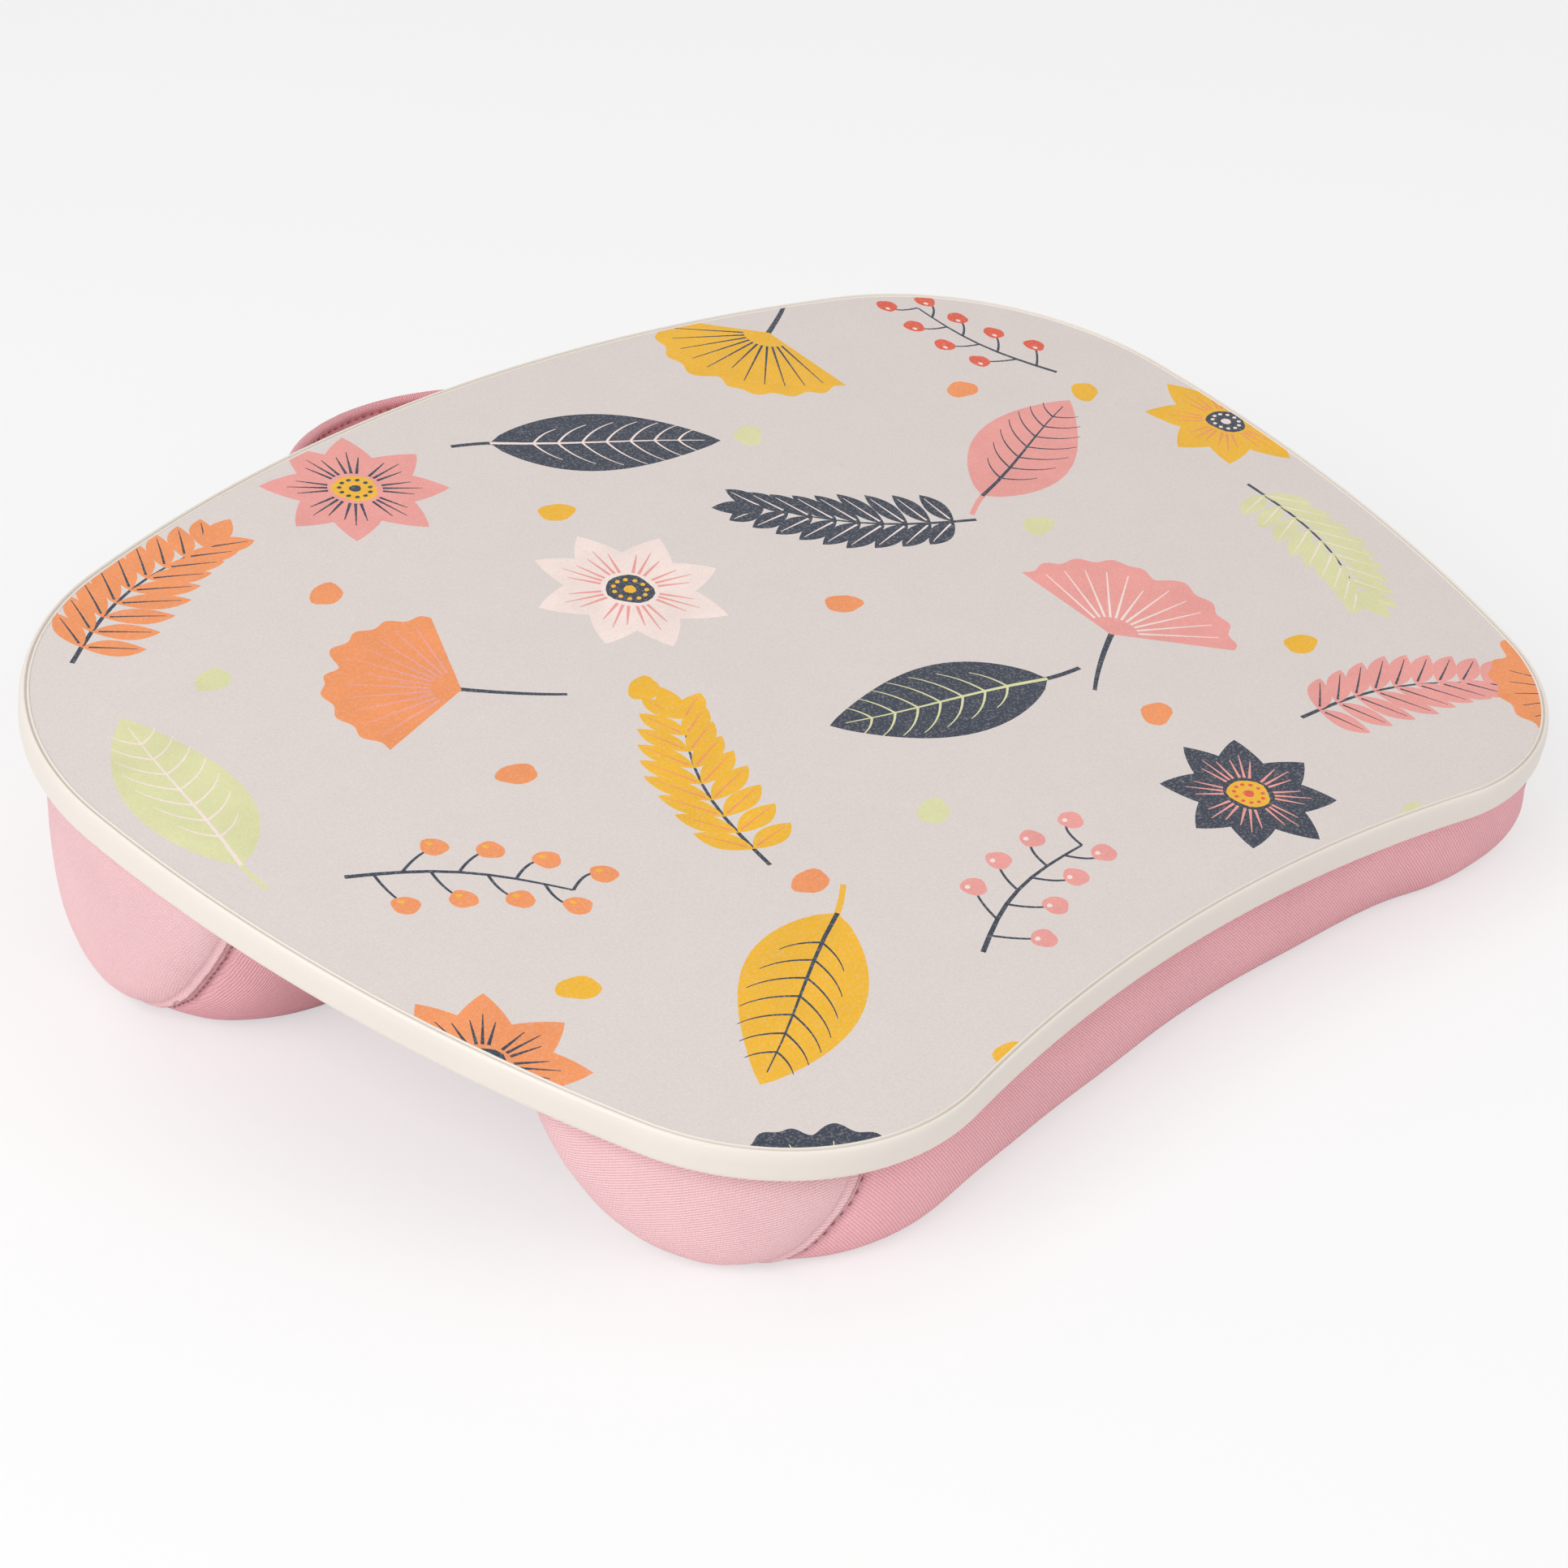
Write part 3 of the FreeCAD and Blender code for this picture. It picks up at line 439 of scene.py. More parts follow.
class Bolster:
    """One cloth bolster: lofted sections, swollen by a cloth simulation, then seamed and stitched."""

    def __init__(self, name, away, **sizes):
        self.name = name
        self.away = away
        self.sizes = sizes
        self.valley = away * (REAR_Y - sizes["depth"])

    def section(self, share, skin):
        """The outline at one share of the depth, inside the outer face by a skin."""
        s = self.sizes
        inset = s["top_inset"] + skin - s["bulge"] * math.sin(math.pi * share)
        inset += s["bottom_draw"] * (1 - math.sqrt(1 - share ** s["turn"]))
        draw = s["valley_slope"] * share + skin + s["valley_draw"] * (1 - math.sqrt(1 - share ** 2))
        valley = self.valley + self.away * draw
        fold = s["fold_top"] * (1 - share) + s["fold_bottom"] * share - skin
        line = Outline(inset)
        fold_end = line.edge_at(valley + self.away * fold)
        fold_centre = fold_end - Vector((fold, 0))
        fold_start = fold_centre - Vector((0, self.away * fold))
        fold_middle = fold_centre + Vector((fold, -self.away * fold)) * math.sqrt(0.5)
        corner, radius, joint, outer_middle = line.corner(self.away)

        def on_corner(angle):
            return corner + Vector((math.cos(angle), math.sin(angle))) * radius

        first, last = (math.radians(angle) for angle in s["corner_angles"])
        first = first * (1 - share) + last * share
        corner_start = on_corner(first)
        corner_middle = on_corner((first + math.atan2(joint.y - corner.y, joint.x - corner.x)) / 2)
        side_middle = line.edge_at((fold_end.y + corner_start.y) / 2)
        path = [fold_start, fold_middle, fold_end, side_middle, corner_start, corner_middle, joint]
        right = [spot - Vector((s["end_slope"] * share, 0)) for spot in path]
        left = [Vector((-spot.x, spot.y)) for spot in reversed(right)]
        across, around, counts = 60, 64, (10, 12, 16)
        loop = [left[-1].lerp(right[0], step / across) for step in range(across)]
        for part, count in zip((0, 2, 4), counts):
            loop += arc(*right[part:part + 3], count)
        loop += arc(right[-1], outer_middle, left[0], around)
        for part, count in zip((0, 2, 4), reversed(counts)):
            loop += arc(*left[part:part + 3], count)
        full = []
        for before, spot, after in zip(loop[-1:] + loop[:-1], loop, loop[1:] + loop[:1]):
            along = toward(before, after)
            full.append(spot + Vector((along.y, -along.x)) * (self.away * self.fullness(spot, share)))
        return [self.lay(spot, share, skin) for spot in full]

    def fullness(self, spot, share):
        """How far the filling pushes the cloth out beyond the plain form."""
        low = math.sin(math.pi / 2 * min(1.0, share / FULL_SHARE))
        total = 0.0
        for place, spread_out, reach, at_top in self.sizes["swells"]:
            if self.away * (spot.y - self.valley) > FULL_START:
                total += reach * math.exp(-((spot.x - place) / spread_out) ** 2) * max(low, at_top)
        return total

    def lay(self, spot, share, skin):
        """Turns a flat section about the line where the floor would meet the cushion's top."""
        hinge = (TOP_LEVEL + RIDE_HEIGHT) / -math.tan(TILT)
        slant = TILT * share
        kept = self.away * REAR_Y
        reach = spot.y + (kept - hinge) * (1 / math.cos(slant) - 1) - hinge
        rise = skin * share
        return Vector((spot.x, hinge + reach * math.cos(slant) + math.sin(TILT) * rise,
                       TOP_LEVEL - reach * math.sin(slant) + math.cos(TILT) * rise))

    def hull(self, skin):
        """The closed form that the simulation starts from."""
        levels = 22
        rings = [self.section(math.sin(math.pi / 2 * step / levels), skin) for step in range(levels + 1)]
        count = len(rings[0])
        points = [BOARD @ spot for ring in rings for spot in ring]
        faces = [list(range(count))] + ring_faces(len(rings), count)
        faces.append(list(reversed(range(levels * count, len(rings) * count))))
        return mesh_of(self.name, points, faces)


REAR = Bolster(
    "rear_bolster", 1, depth=172.2, valley_slope=20.0, valley_draw=5.0, end_slope=8.0, top_inset=8.0,
    bottom_draw=11.0, turn=5, swells=(), fold_top=24.0, fold_bottom=48.0, bulge=1.5,
    seam_left=(14.5, 37.0), seam_right=(14.5, 37.0), corner_angles=(20.0, 40.0), seam_lean=0.0, wrap_turn=0.0)
FRONT = Bolster(
    "front_bolster", -1, depth=77.2, valley_slope=15.0, valley_draw=20.0, end_slope=1.0, top_inset=7.0,
    bottom_draw=4.5, turn=6,
    swells=((-50.0, 85.0, 5.5, 0.0), (100.0, 30.0, -3.5, 0.0), (166.0, 20.0, 8.0, 0.5)),
    fold_top=13.5, fold_bottom=29.5, bulge=1.5, seam_left=(80.0, 85.0), seam_right=(62.0, 66.0),
    corner_angles=(-35.0, -72.0), seam_lean=0.5, wrap_turn=45.0)


def applied(piece, kind, **settings):
    """Changes the piece's mesh by one modifier."""
    set_all(piece.modifiers.new(kind, kind), settings)
    evaluated = piece.evaluated_get(bpy.context.evaluated_depsgraph_get())
    mesh = bpy.data.meshes.new_from_object(evaluated)
    piece.modifiers.clear()
    piece.data = mesh


# How the cloth behaves while it is blown up, and for how many steps that lasts.
SWELL_CLOTH = {
    "quality": 5, "mass": 0.3, "use_pressure": True, "vertex_group_mass": "sewn", "tension_stiffness": 18.0,
    "compression_stiffness": 18.0, "shear_stiffness": 8.0, "bending_stiffness": 1.5}
SWELL_STEPS = 20
SWELL_PRESSURE = 4.0
# The furthest that a point may move, in metres, and the height of the sewn rim in millimetres.
SWELL_LIMIT = 0.004
SEWN_RIM = 3.0


def swell(piece):
    """Blows the cloth up a little, with the sewn top rim held, and keeps the result in the mesh."""
    start = points_of(piece.data)
    held = [int(place) for place in np.flatnonzero(to_board(start)[:, 2] > TOP_LEVEL - SEWN_RIM)]
    piece.vertex_groups.new(name="sewn").add(held, 1.0, "REPLACE")
    modifier = piece.modifiers.new("cloth", "CLOTH")
    set_all(modifier.settings, SWELL_CLOTH)
    modifier.settings.uniform_pressure_force = SWELL_PRESSURE
    modifier.settings.effector_weights.gravity = 0.0
    modifier.point_cache.frame_start = 1
    modifier.point_cache.frame_end = SWELL_STEPS
    scene = bpy.context.scene
    for step in range(1, SWELL_STEPS + 1):
        scene.frame_set(step)
    evaluated = piece.evaluated_get(bpy.context.evaluated_depsgraph_get())
    moved = points_of(evaluated.data) - start
    piece.modifiers.clear()
    piece.vertex_groups.clear()
    scene.frame_set(1)
    reach = np.linalg.norm(moved, axis=1, keepdims=True)
    put_points(piece.data, start + moved * np.minimum(1.0, SWELL_LIMIT / np.maximum(reach, 1e-9)))


def seam_plane(bolster, sign):
    """A point on the seam between the wrap and one end panel, and the direction towards the panel."""
    corner, radius, _, _ = Outline(bolster.sizes["top_inset"]).corner(bolster.away)
    at_valley, at_edge = bolster.sizes["seam_right" if sign > 0 else "seam_left"]
    edge_x = HALF_WIDTH - at_edge
    edge_y = corner.y + bolster.away * math.sqrt(radius ** 2 - (edge_x - corner.x) ** 2)
    near = Vector((sign * (HALF_WIDTH - at_valley), bolster.valley, TOP_LEVEL))
    far = Vector((sign * edge_x, edge_y, TOP_LEVEL))
    lean = Vector((sign * bolster.sizes["seam_lean"], 0, -1))
    normal = (far - near).cross(lean).normalized()
    if normal.x * sign < 0:
        normal.negate()
    return near, normal


def beyond(board, spot, normal):
    """How far points lie beyond a plane, along its normal."""
    return (board - np.array(spot)) @ np.array(normal)


# Beside a seam, counted towards the end panel: where loops are cut, and where that panel's own weave and its
# paler, painted-light cloth begin.
SEAM_CUTS = (-7.0, -4.0, -2.6, -1.9, -1.5, -1.1, -0.7, -0.3, 0.2, 0.8, 1.4, 1.9, 2.3, 2.7, 3.4, 5.0, 8.0)
PANEL_START = 0.2
# How far from the seam the stitches run, on the wrap.
STITCH_OFFSET = 1.8
# Points closer than this are joined after the cuts.
JOIN_WITHIN = 0.15
# Heights of the puckers beside a seam and of the waves all over, how far the puckers reach, and how near the
# sewn rim they all fade out.
PUCKER = 0.65
PUCKER_REACH = 7.0
WAVES = 0.55
RIM_FADE = 4.0
# The least height of the cloth above the floor, in metres.
FLOOR_GAP = 0.0004


def bell(values, centre, width):
    """One at a centre, falling off smoothly on both sides."""
    return np.exp(-((values - centre) / width) ** 2)


def seam_rise(beside):
    """The end panel's folded edge stands up, and the stitched wrap beside it is drawn in."""
    fold = 0.75 * bell(beside, 0.6, 0.9)
    groove = -0.8 * bell(beside, -1.8, 1.0)
    crease = -0.2 * bell(beside, 2.1, 0.6)
    pull = -1.5 * bell(beside, 0.0, np.where(beside < 0, 9.0, 5.0))
    return fold + groove + crease + pull


def seam_shade(beside):
    """How much painted shade darkens the cloth beside a seam: in the drawn-in groove beside the fold, and in the
    crease at the fold's own edge.
    """
    return 0.7 * bell(beside, -1.9, 1.0) + 0.3 * bell(beside, 2.0, 0.4)


def sew(mesh, bolster):
    """Cuts loops beside both seams and draws the cloth in along them."""
    planes = [seam_plane(bolster, sign) for sign in (-1, 1)]
    work = bmesh.new()
    work.from_mesh(mesh)
    for spot, normal in planes:
        for offset in SEAM_CUTS:
            everything = work.verts[:] + work.edges[:] + work.faces[:]
            bmesh.ops.bisect_plane(
                work, geom=everything, dist=1e-6, plane_co=BOARD @ (spot + normal * offset),
                plane_no=(BOARD.to_3x3() @ normal).normalized())
    bmesh.ops.remove_doubles(work, verts=work.verts[:], dist=JOIN_WITHIN * MM)
    bmesh.ops.triangulate(work, faces=[face for face in work.faces if len(face.verts) > 4])
    work.normal_update()
    work.to_mesh(mesh)
    work.free()
    mesh.update()
    places = points_of(mesh)
    board = to_board(places)
    pucker = np.array([noise.noise(Vector((x * 0.03, y * 0.17, z * 0.17))) for x, y, z in board])
    rise = WAVES * np.array([noise.noise(Vector(point * 0.018)) for point in board])
    for plane in planes:
        beside = beyond(board, *plane)
        wrap_side = np.where(beside < 0, 1.0, 0.4)
        rise += seam_rise(beside)
        rise += PUCKER * pucker * wrap_side * np.exp(-np.abs(beside) / PUCKER_REACH)
    rise *= np.clip((TOP_LEVEL - board[:, 2]) / RIM_FADE, 0.0, 1.0)
    places += fetched(mesh.vertices, "normal") * (rise * MM)[:, None]
    places[:, 2] = np.maximum(places[:, 2], FLOOR_GAP)
    put_points(mesh, places)


def around_table(bolster):
    """Lengths along the bolster's middle section, by direction from its centre."""
    inner, outer = [], []
    levels = 24
    for step in range(levels + 1):
        ring = bolster.section(math.sin(math.pi / 2 * step / levels), 0.0)
        middle = sorted((spot for spot in ring if abs(spot.x) < 6.0), key=lambda spot: spot.y * bolster.away)
        inner.append(middle[0])
        outer.append(middle[-1])
    path = inner + outer[::-1]
    centre = sum(path, Vector()) / len(path)
    lengths, angles, total = [], [], 0.0
    for number, spot in enumerate(path):
        if number:
            total += (spot.yz - path[number - 1].yz).length
        lengths.append(total)
        angles.append(math.atan2(bolster.away * (spot.y - centre.y), -(spot.z - centre.z)))
    return centre, np.array(angles), np.array(lengths)


# The weave of the end panels: rows round a centre at the rear, and turned rows on the front ones.
END_ROUND = 58.0
END_CENTRE = 165.0
END_TURN = math.radians(34.0)
# Keeps the weave of the end panels apart from the wrap's.
END_SHIFT = 500.0


def lay_weave(mesh, bolster):
    """Gives each point its place on its own flat panel."""
    board = to_board(points_of(mesh))
    centre, angles, lengths = around_table(bolster)
    turn = np.arctan2(bolster.away * (board[:, 1] - centre.y), -(board[:, 2] - centre.z))
    around = np.interp(turn, angles, lengths)
    flat = np.zeros(len(board))
    bias = math.radians(bolster.sizes["wrap_turn"])
    places = np.column_stack([
        board[:, 0] * math.cos(bias) + around * math.sin(bias),
        around * math.cos(bias) - board[:, 0] * math.sin(bias), flat])
    shade = flat.copy()
    for sign in (-1, 1):
        beside = beyond(board, *seam_plane(bolster, sign))
        shade += seam_shade(beside)
        if bolster.away > 0:
            rows = END_ROUND * np.arctan2(TOP_LEVEL - board[:, 2], np.abs(board[:, 0]) - END_CENTRE)
            columns = board[:, 1]
        else:
            level = (sign * board[:, 0] + board[:, 1]) * -math.sqrt(0.5)
            down = board[:, 2] * 1.05 - np.abs(board[:, 0]) * 0.35
            rows = down * math.cos(END_TURN) - level * math.sin(END_TURN)
            columns = level * math.cos(END_TURN) + down * math.sin(END_TURN)
        on_cap = beside > PANEL_START
        places[on_cap] = np.column_stack([rows + END_SHIFT, columns, flat])[on_cap]
    keep_cloth_places(mesh, places)
    # The painted seam shade is kept as the crease attribute, for the cloth's colour.
    layer = mesh.attributes.new("crease", "FLOAT", "POINT")
    layer.data.foreach_set("value", shade.astype(np.float32))


def mark_panels(mesh, bolster):
    """Gives the faces of the two end panels the paler copy of the cloth, which is painted light."""
    board = to_board(fetched(mesh.polygons, "center"))
    on_cap = np.zeros(len(board), bool)
    for sign in (-1, 1):
        on_cap |= beyond(board, *seam_plane(bolster, sign)) > PANEL_START
    mesh.materials.clear()
    mesh.materials.append(PINK_CLOTH)
    mesh.materials.append(PINK_LIT_CAP)
    mesh.polygons.foreach_set("material_index", on_cap.astype(np.int32))


def seam_track(mesh, spot, normal):
    """The line where a plane meets a bolster below the deck, as runs of points with their outward normals."""
    faces = [face.vertices for face in mesh.polygons]
    tree = BVHTree.FromPolygons([vert.co for vert in mesh.vertices], faces)
    flat = to_board(points_of(mesh))
    near = flat[np.abs(beyond(flat, spot, normal)) < 4.0]
    centre = Vector((near.min(0) + near.max(0)) / 2)
    centre -= normal * (centre - spot).dot(normal)
    level = normal.cross(Vector((0, 0, 1))).normalized()
    rise = level.cross(normal).normalized()
    if rise.z < 0:
        rise.negate()
    begin = BOARD @ centre
    runs = [[]]
    rays = 720
    for step in range(rays + 1):
        turn = math.radians(100 + 340 * step / rays)
        ray = level * math.cos(turn) + rise * math.sin(turn)
        place, outward, _, _ = tree.ray_cast(begin, (BOARD.to_3x3() @ ray).normalized())
        if place is not None and (TO_BOARD @ place).z < TOP_LEVEL - SEWN_RIM:
            if runs[-1] and (place - runs[-1][-1][0]).length > 1.5 * MM:
                runs.append([])
            runs[-1].append((place, outward))
    return [run for run in runs if len(run) > 12]


def spread(track, spacing):
    """Points at even spacing along a track of points and normals."""
    made, carried = [], 0.0
    for (start, start_normal), (end, end_normal) in zip(track, track[1:]):
        length = (end - start).length
        while carried < length:
            share = carried / length if length else 0.0
            made.append((start.lerp(end, share), start_normal.lerp(end_normal, share).normalized()))
            carried += spacing
        carried -= length
    return made


# A stitch's bow above the cloth, how deep its ends dip, and its width at the ends as a share.
STITCH_BOW = 0.42
STITCH_DIP = 0.2
STITCH_END = 0.35


def thread_run(name, tracks, stitch=2.6, gap=1.0, radius=0.32):
    """Running stitches: one small rounded thread for each, dipping into the cloth at its two ends."""
    points, faces = [], []
    steps, sides = 6, 6
    turns = [2 * math.pi * side / sides for side in range(sides)]
    tube = [[a, d, c, b] for a, b, c, d in ring_faces(steps, sides)]
    ends = [list(reversed(range(sides))), list(range((steps - 1) * sides, steps * sides))]
    for track in tracks:
        line = spread(track, (stitch + gap) / steps * MM)
        for first in range(0, len(line) - steps, steps):
            faces += [[len(points) + corner for corner in face] for face in tube + ends]
            for number in range(steps):
                share = number / (steps - 1)
                spot, normal = line[first + number]
                along = toward(line[max(first + number - 1, 0)][0], line[first + number + 1][0])
                across = along.cross(normal).normalized()
                bow = math.sin(math.pi * share)
                width = radius * (STITCH_END + (1 - STITCH_END) * bow ** 0.5)
                middle = spot + normal * ((bow * STITCH_BOW - STITCH_DIP) * MM)
                middle -= along * (gap * MM * (share - 0.5))
                points += [middle + (across * math.cos(turn) + normal * math.sin(turn)) * (width * MM)
                           for turn in turns]
    mesh = mesh_of(name, points, faces)
    mesh.materials.append(THREAD)
    keep_cloth_places(mesh, np.array([tuple(point) for point in points]) / MM)
    return new_object(name, mesh)


def build_bolster(bolster, nodes, skin):
    piece = new_object(bolster.name, bolster.hull(skin))
    applied(piece, "REMESH", mode="VOXEL", voxel_size=0.005, use_smooth_shade=True)
    swell(piece)
    applied(piece, "CORRECTIVE_SMOOTH", factor=0.5, iterations=4, use_only_smooth=True)
    applied(piece, "SUBSURF", levels=1, render_levels=1)
    sew(piece.data, bolster)
    lay_weave(piece.data, bolster)
    mark_panels(piece.data, bolster)
    piece.data.polygons.foreach_set("use_smooth", [True] * len(piece.data.polygons))
    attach(piece, "desk")
    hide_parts(*nodes)
    tracks = []
    for sign in (-1, 1):
        spot, normal = seam_plane(bolster, sign)
        tracks += seam_track(piece.data, spot - normal * STITCH_OFFSET, normal)
    stitches = thread_run(f"{bolster.name}_stitching", tracks)
    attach(stitches, "desk")


build_bolster(
    REAR, ["rear_wrap", "rear_left_cap", "rear_right_cap", "rear_filling"], skin=-1.3)
build_bolster(
    FRONT, ["front_wrap", "front_left_cap", "front_right_cap", "front_filling"], skin=-0.9)


# The base panel: one flat piece of cloth under the deck, drawn tight between the bolsters.
BASE_GRID = 5.0
BASE_SAG = 0.18
BASE_GAP = 0.02


def base_sheet():
    loop = Outline(BASE_INSET).loop(6.0)
    inside = [Vector((column, row)) * BASE_GRID for column in range(-44, 45) for row in range(-42, 34)]
    result = geometry.delaunay_2d_cdt(loop + inside, [], [list(range(len(loop)))], 1, 1e-4)
    flat, faces = used_only(result[0], result[2])
    count = len(flat)
    level = TOP_LEVEL - BASE_GAP
    low, high = [], []
    for spot in flat:
        sag = BASE_SAG * noise.noise(Vector((spot.x * 0.05, spot.y * 0.05, 0.0)))
        low.append(BOARD @ Vector((spot.x, spot.y, level + sag)))
        high.append(BOARD @ Vector((spot.x, spot.y, level + CLOTH_THICK)))
    shell = [face[::-1] for face in faces]
    shell += [[spot + count for spot in face] for face in faces]
    shell += [[first, second, second + count, first + count] for first, second in rim_edges(faces)]
    mesh = mesh_of("base_cloth", low + high, shell)
    keep_cloth_places(mesh, [[spot.x, spot.y, 0.0] for spot in flat * 2])
    mesh.materials.append(PINK_CLOTH)
    return new_object("base_cloth", mesh), flat_area(loop)


base, base_area = base_sheet()
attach(base, "desk")
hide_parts("base_panel")


# The strap handle: one folded strap from sewn end to sewn end, standing on edge.
PIVOT = Vector(SWING["pos_m"])
STRAP_HALF = 11.0
STRAP_ROLL = 2.0
STRAP_STITCH = 3.2
STRAP_PUCKER = 0.2
STRAP_LIFT = 2.5
# How far the stitches lie from the strap's middle, and what keeps the weaves of its two faces apart.
STITCH_LEVEL = 1.3
FACE_SHIFT = 100.0

# The sewn ends lie on the rear face, at these places across and at one level. The rest is an arc.
SEWN_FACE = 510.8
SEWN_PLACES = (-88.0, -82.0, -76.0, -71.0, -67.0, -62.2)
SEWN_LEVEL = -34.4
ARC_RADIUS = 60.4
ARC_CENTRE = -24.35
ARC_START = -6.5


def strap_line():
    """The strap's centre line from sewn end to sewn end, with its upright direction at each point."""
    board_up = (BOARD.to_3x3() @ Vector((0, 0, 1))).normalized()
    spots = []
    for x in SEWN_PLACES:
        spot = Vector((x, Outline.rear.y + math.sqrt(SEWN_FACE ** 2 - x ** 2), SEWN_LEVEL))
        spots.append((BOARD @ spot, board_up))
    begin = math.asin((ARC_START - ARC_CENTRE) / ARC_RADIUS)
    steps = 14
    for step in range(steps + 1):
        turn = math.pi - begin - (math.pi / 2 - begin) * step / steps
        spot = Vector((ARC_RADIUS * math.cos(turn), ARC_CENTRE + ARC_RADIUS * math.sin(turn), STRAP_LIFT))
        spots.append((PIVOT + spot * MM, Vector((0, 0, 1))))
    spots += [(Vector((-spot.x, spot.y, spot.z)), up) for spot, up in reversed(spots[:-1])]
    line = []
    for layer in range(2):
        curve = bpy.data.curves.new("strap_line", "CURVE")
        curve.dimensions = "3D"
        spline = curve.splines.new("NURBS")
        spline.points.add(len(spots) - 1)
        for point, pair in zip(spline.points, spots):
            point.co = (*pair[layer], 1.0)
        set_all(spline, {"order_u": 3, "use_endpoint_u": True, "resolution_u": 8})
        holder = new_object("strap_line", curve)
        evaluated = holder.evaluated_get(bpy.context.evaluated_depsgraph_get())
        mesh = bpy.data.meshes.new_from_object(evaluated)
        line.append([vert.co.copy() for vert in mesh.vertices])
        bpy.data.objects.remove(holder)
    return [(spot, up.normalized()) for spot, up in zip(*line)]


def strap_frame(line, number):
    """One point of the strap, with the directions out of its face and up its width."""
    spot, up = line[number]
    along = line[min(number + 1, len(line) - 1)][0] - line[max(number - 1, 0)][0]
    along = (along - up * along.dot(up)).normalized()
    return spot, up.cross(along).normalized(), up


def strap_profile():
    """Height and half thickness of the strap: rolled edges, a stitched valley beside each, a flat middle."""
    profile = []
    steps = 32
    for step in range(steps + 1):
        height = -STRAP_HALF + 2 * STRAP_HALF * step / steps
        inward = STRAP_HALF - abs(height)
        short = max(0.0, STRAP_ROLL - inward)
        roll = math.sqrt(max(0.0, STRAP_ROLL ** 2 - short ** 2))
        valley = 0.8 * math.exp(-((inward - STRAP_STITCH) / 0.8) ** 2)
        middle = 0.25 * (1 - math.exp(-(max(0.0, inward - STRAP_STITCH) / 2.5) ** 2))
        profile.append((height, max(0.02, roll - valley - middle)))
    return profile


def build_strap():
    line = strap_line()
    profile = strap_profile()
    ring = profile + [(height, -thick) for height, thick in profile[::-1]]
    frames = [strap_frame(line, number) for number in range(len(line))]
    points, places = [], []
    run = 0.0
    for number, (spot, across, up) in enumerate(frames):
        if number:
            run += (spot - line[number - 1][0]).length / MM
        end_fade = 0.5 if number in (0, len(line) - 1) else 1.0
        for order, (height, thick) in enumerate(ring):
            behind = order >= len(profile)
            pucker = STRAP_PUCKER * noise.noise(Vector((run * 0.22, height * 0.1, 7.0 if behind else 3.0)))
            side = math.copysign(abs(thick) * end_fade + pucker * min(1.0, abs(thick)), thick)
            points.append(spot + across * (side * MM) + up * (height * MM))
            places.append((run, height + (FACE_SHIFT if behind else 0.0), 0.0))
    count = len(ring)
    faces = ring_faces(len(line), count)
    faces.append(list(range(count)))
    faces.append(list(reversed(range((len(line) - 1) * count, len(line) * count))))
    mesh = mesh_of("handle_band", points, faces)
    keep_cloth_places(mesh, places)
    mesh.materials.append(PINK_STRAP)
    work = bmesh.new()
    work.from_mesh(mesh)
    bmesh.ops.recalc_face_normals(work, faces=work.faces[:])
    work.to_mesh(mesh)
    work.free()
    band = new_object("handle_band", mesh)
    tracks = []
    for height in (STRAP_STITCH - STRAP_HALF, STRAP_HALF - STRAP_STITCH):
        for face in (1, -1):
            tracks.append([(spot + across * (face * STITCH_LEVEL * MM) + up * (height * MM), across * face)
                           for spot, across, up in frames])
    return band, thread_run("handle_stitching", tracks, stitch=2.4, gap=0.9, radius=0.26)


band, band_stitches = build_strap()
for strap_piece in (band, band_stitches):
    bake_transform(strap_piece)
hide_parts("handle_strap", "handle_left_tab", "handle_right_tab")


# The printed deck sheet. The print is a generic scatter of leaves, flowers and ovals, drawn from formulas.
INKS = {
    "ground": srgb(221, 211, 207),
    "navy": srgb(50, 58, 73),
    "orange": srgb(240, 149, 92),
    "coral": srgb(236, 158, 151),
    "mustard": srgb(240, 182, 40),
    "lime": srgb(219, 219, 168),
    "blush": srgb(245, 226, 219),
    "red": srgb(226, 92, 66),
}
INK_NAMES = list(INKS)
# How uneven the bare sheet and the inks are.
GROUND_WEAR = 0.012
INK_WEAR = 0.06


def blade(length, width, bend=0.0, blunt=1.0, steps=12):
    """A leaf or petal from the origin along X."""
    upper, lower = [], []
    for step in range(1, steps):
        share = step / steps
        half = width / 2 * math.sin(math.pi * share ** blunt) ** 0.85
        middle = bend * math.sin(math.pi * share / 2) ** 2
        upper.append((length * share, middle + half))
        lower.append((length * share, middle - half))
    return [(0.0, 0.0)] + upper + [(length, bend)] + lower[::-1]


def oval(wide, tall, steps=18, wobble=0.05, phase=0.0):
    spots = []
    for step in range(steps):
        turn = 2 * math.pi * step / steps
        reach = 1 + wobble * math.sin(3 * turn + phase) + wobble * 0.6 * math.sin(5 * turn + 2 * phase)
        spots.append((wide / 2 * reach * math.cos(turn), tall / 2 * reach * math.sin(turn)))
    return spots


def stroke(spots, start, end):
    """A tapering line through some points. Three points are taken as a smooth bow."""
    if len(spots) == 3:
        first, middle, last = spots
        bow = [2 * m - (a + b) / 2 for a, m, b in zip(first, middle, last)]
        shares = [step / 8 for step in range(9)]
        trios = list(zip(first, bow, last))
        spots = [tuple((1 - t) ** 2 * a + 2 * t * (1 - t) * m + t * t * b for a, m, b in trios)
                 for t in shares]
    left, right = [], []
    for number, (x, y) in enumerate(spots):
        before = spots[max(number - 1, 0)]
        after = spots[min(number + 1, len(spots) - 1)]
        run = math.hypot(after[0] - before[0], after[1] - before[1])
        across = (-(after[1] - before[1]) / run, (after[0] - before[0]) / run)
        half = (start + (end - start) * number / (len(spots) - 1)) / 2
        left.append((x + across[0] * half, y + across[1] * half))
        right.append((x - across[0] * half, y - across[1] * half))
    return left + right[::-1]


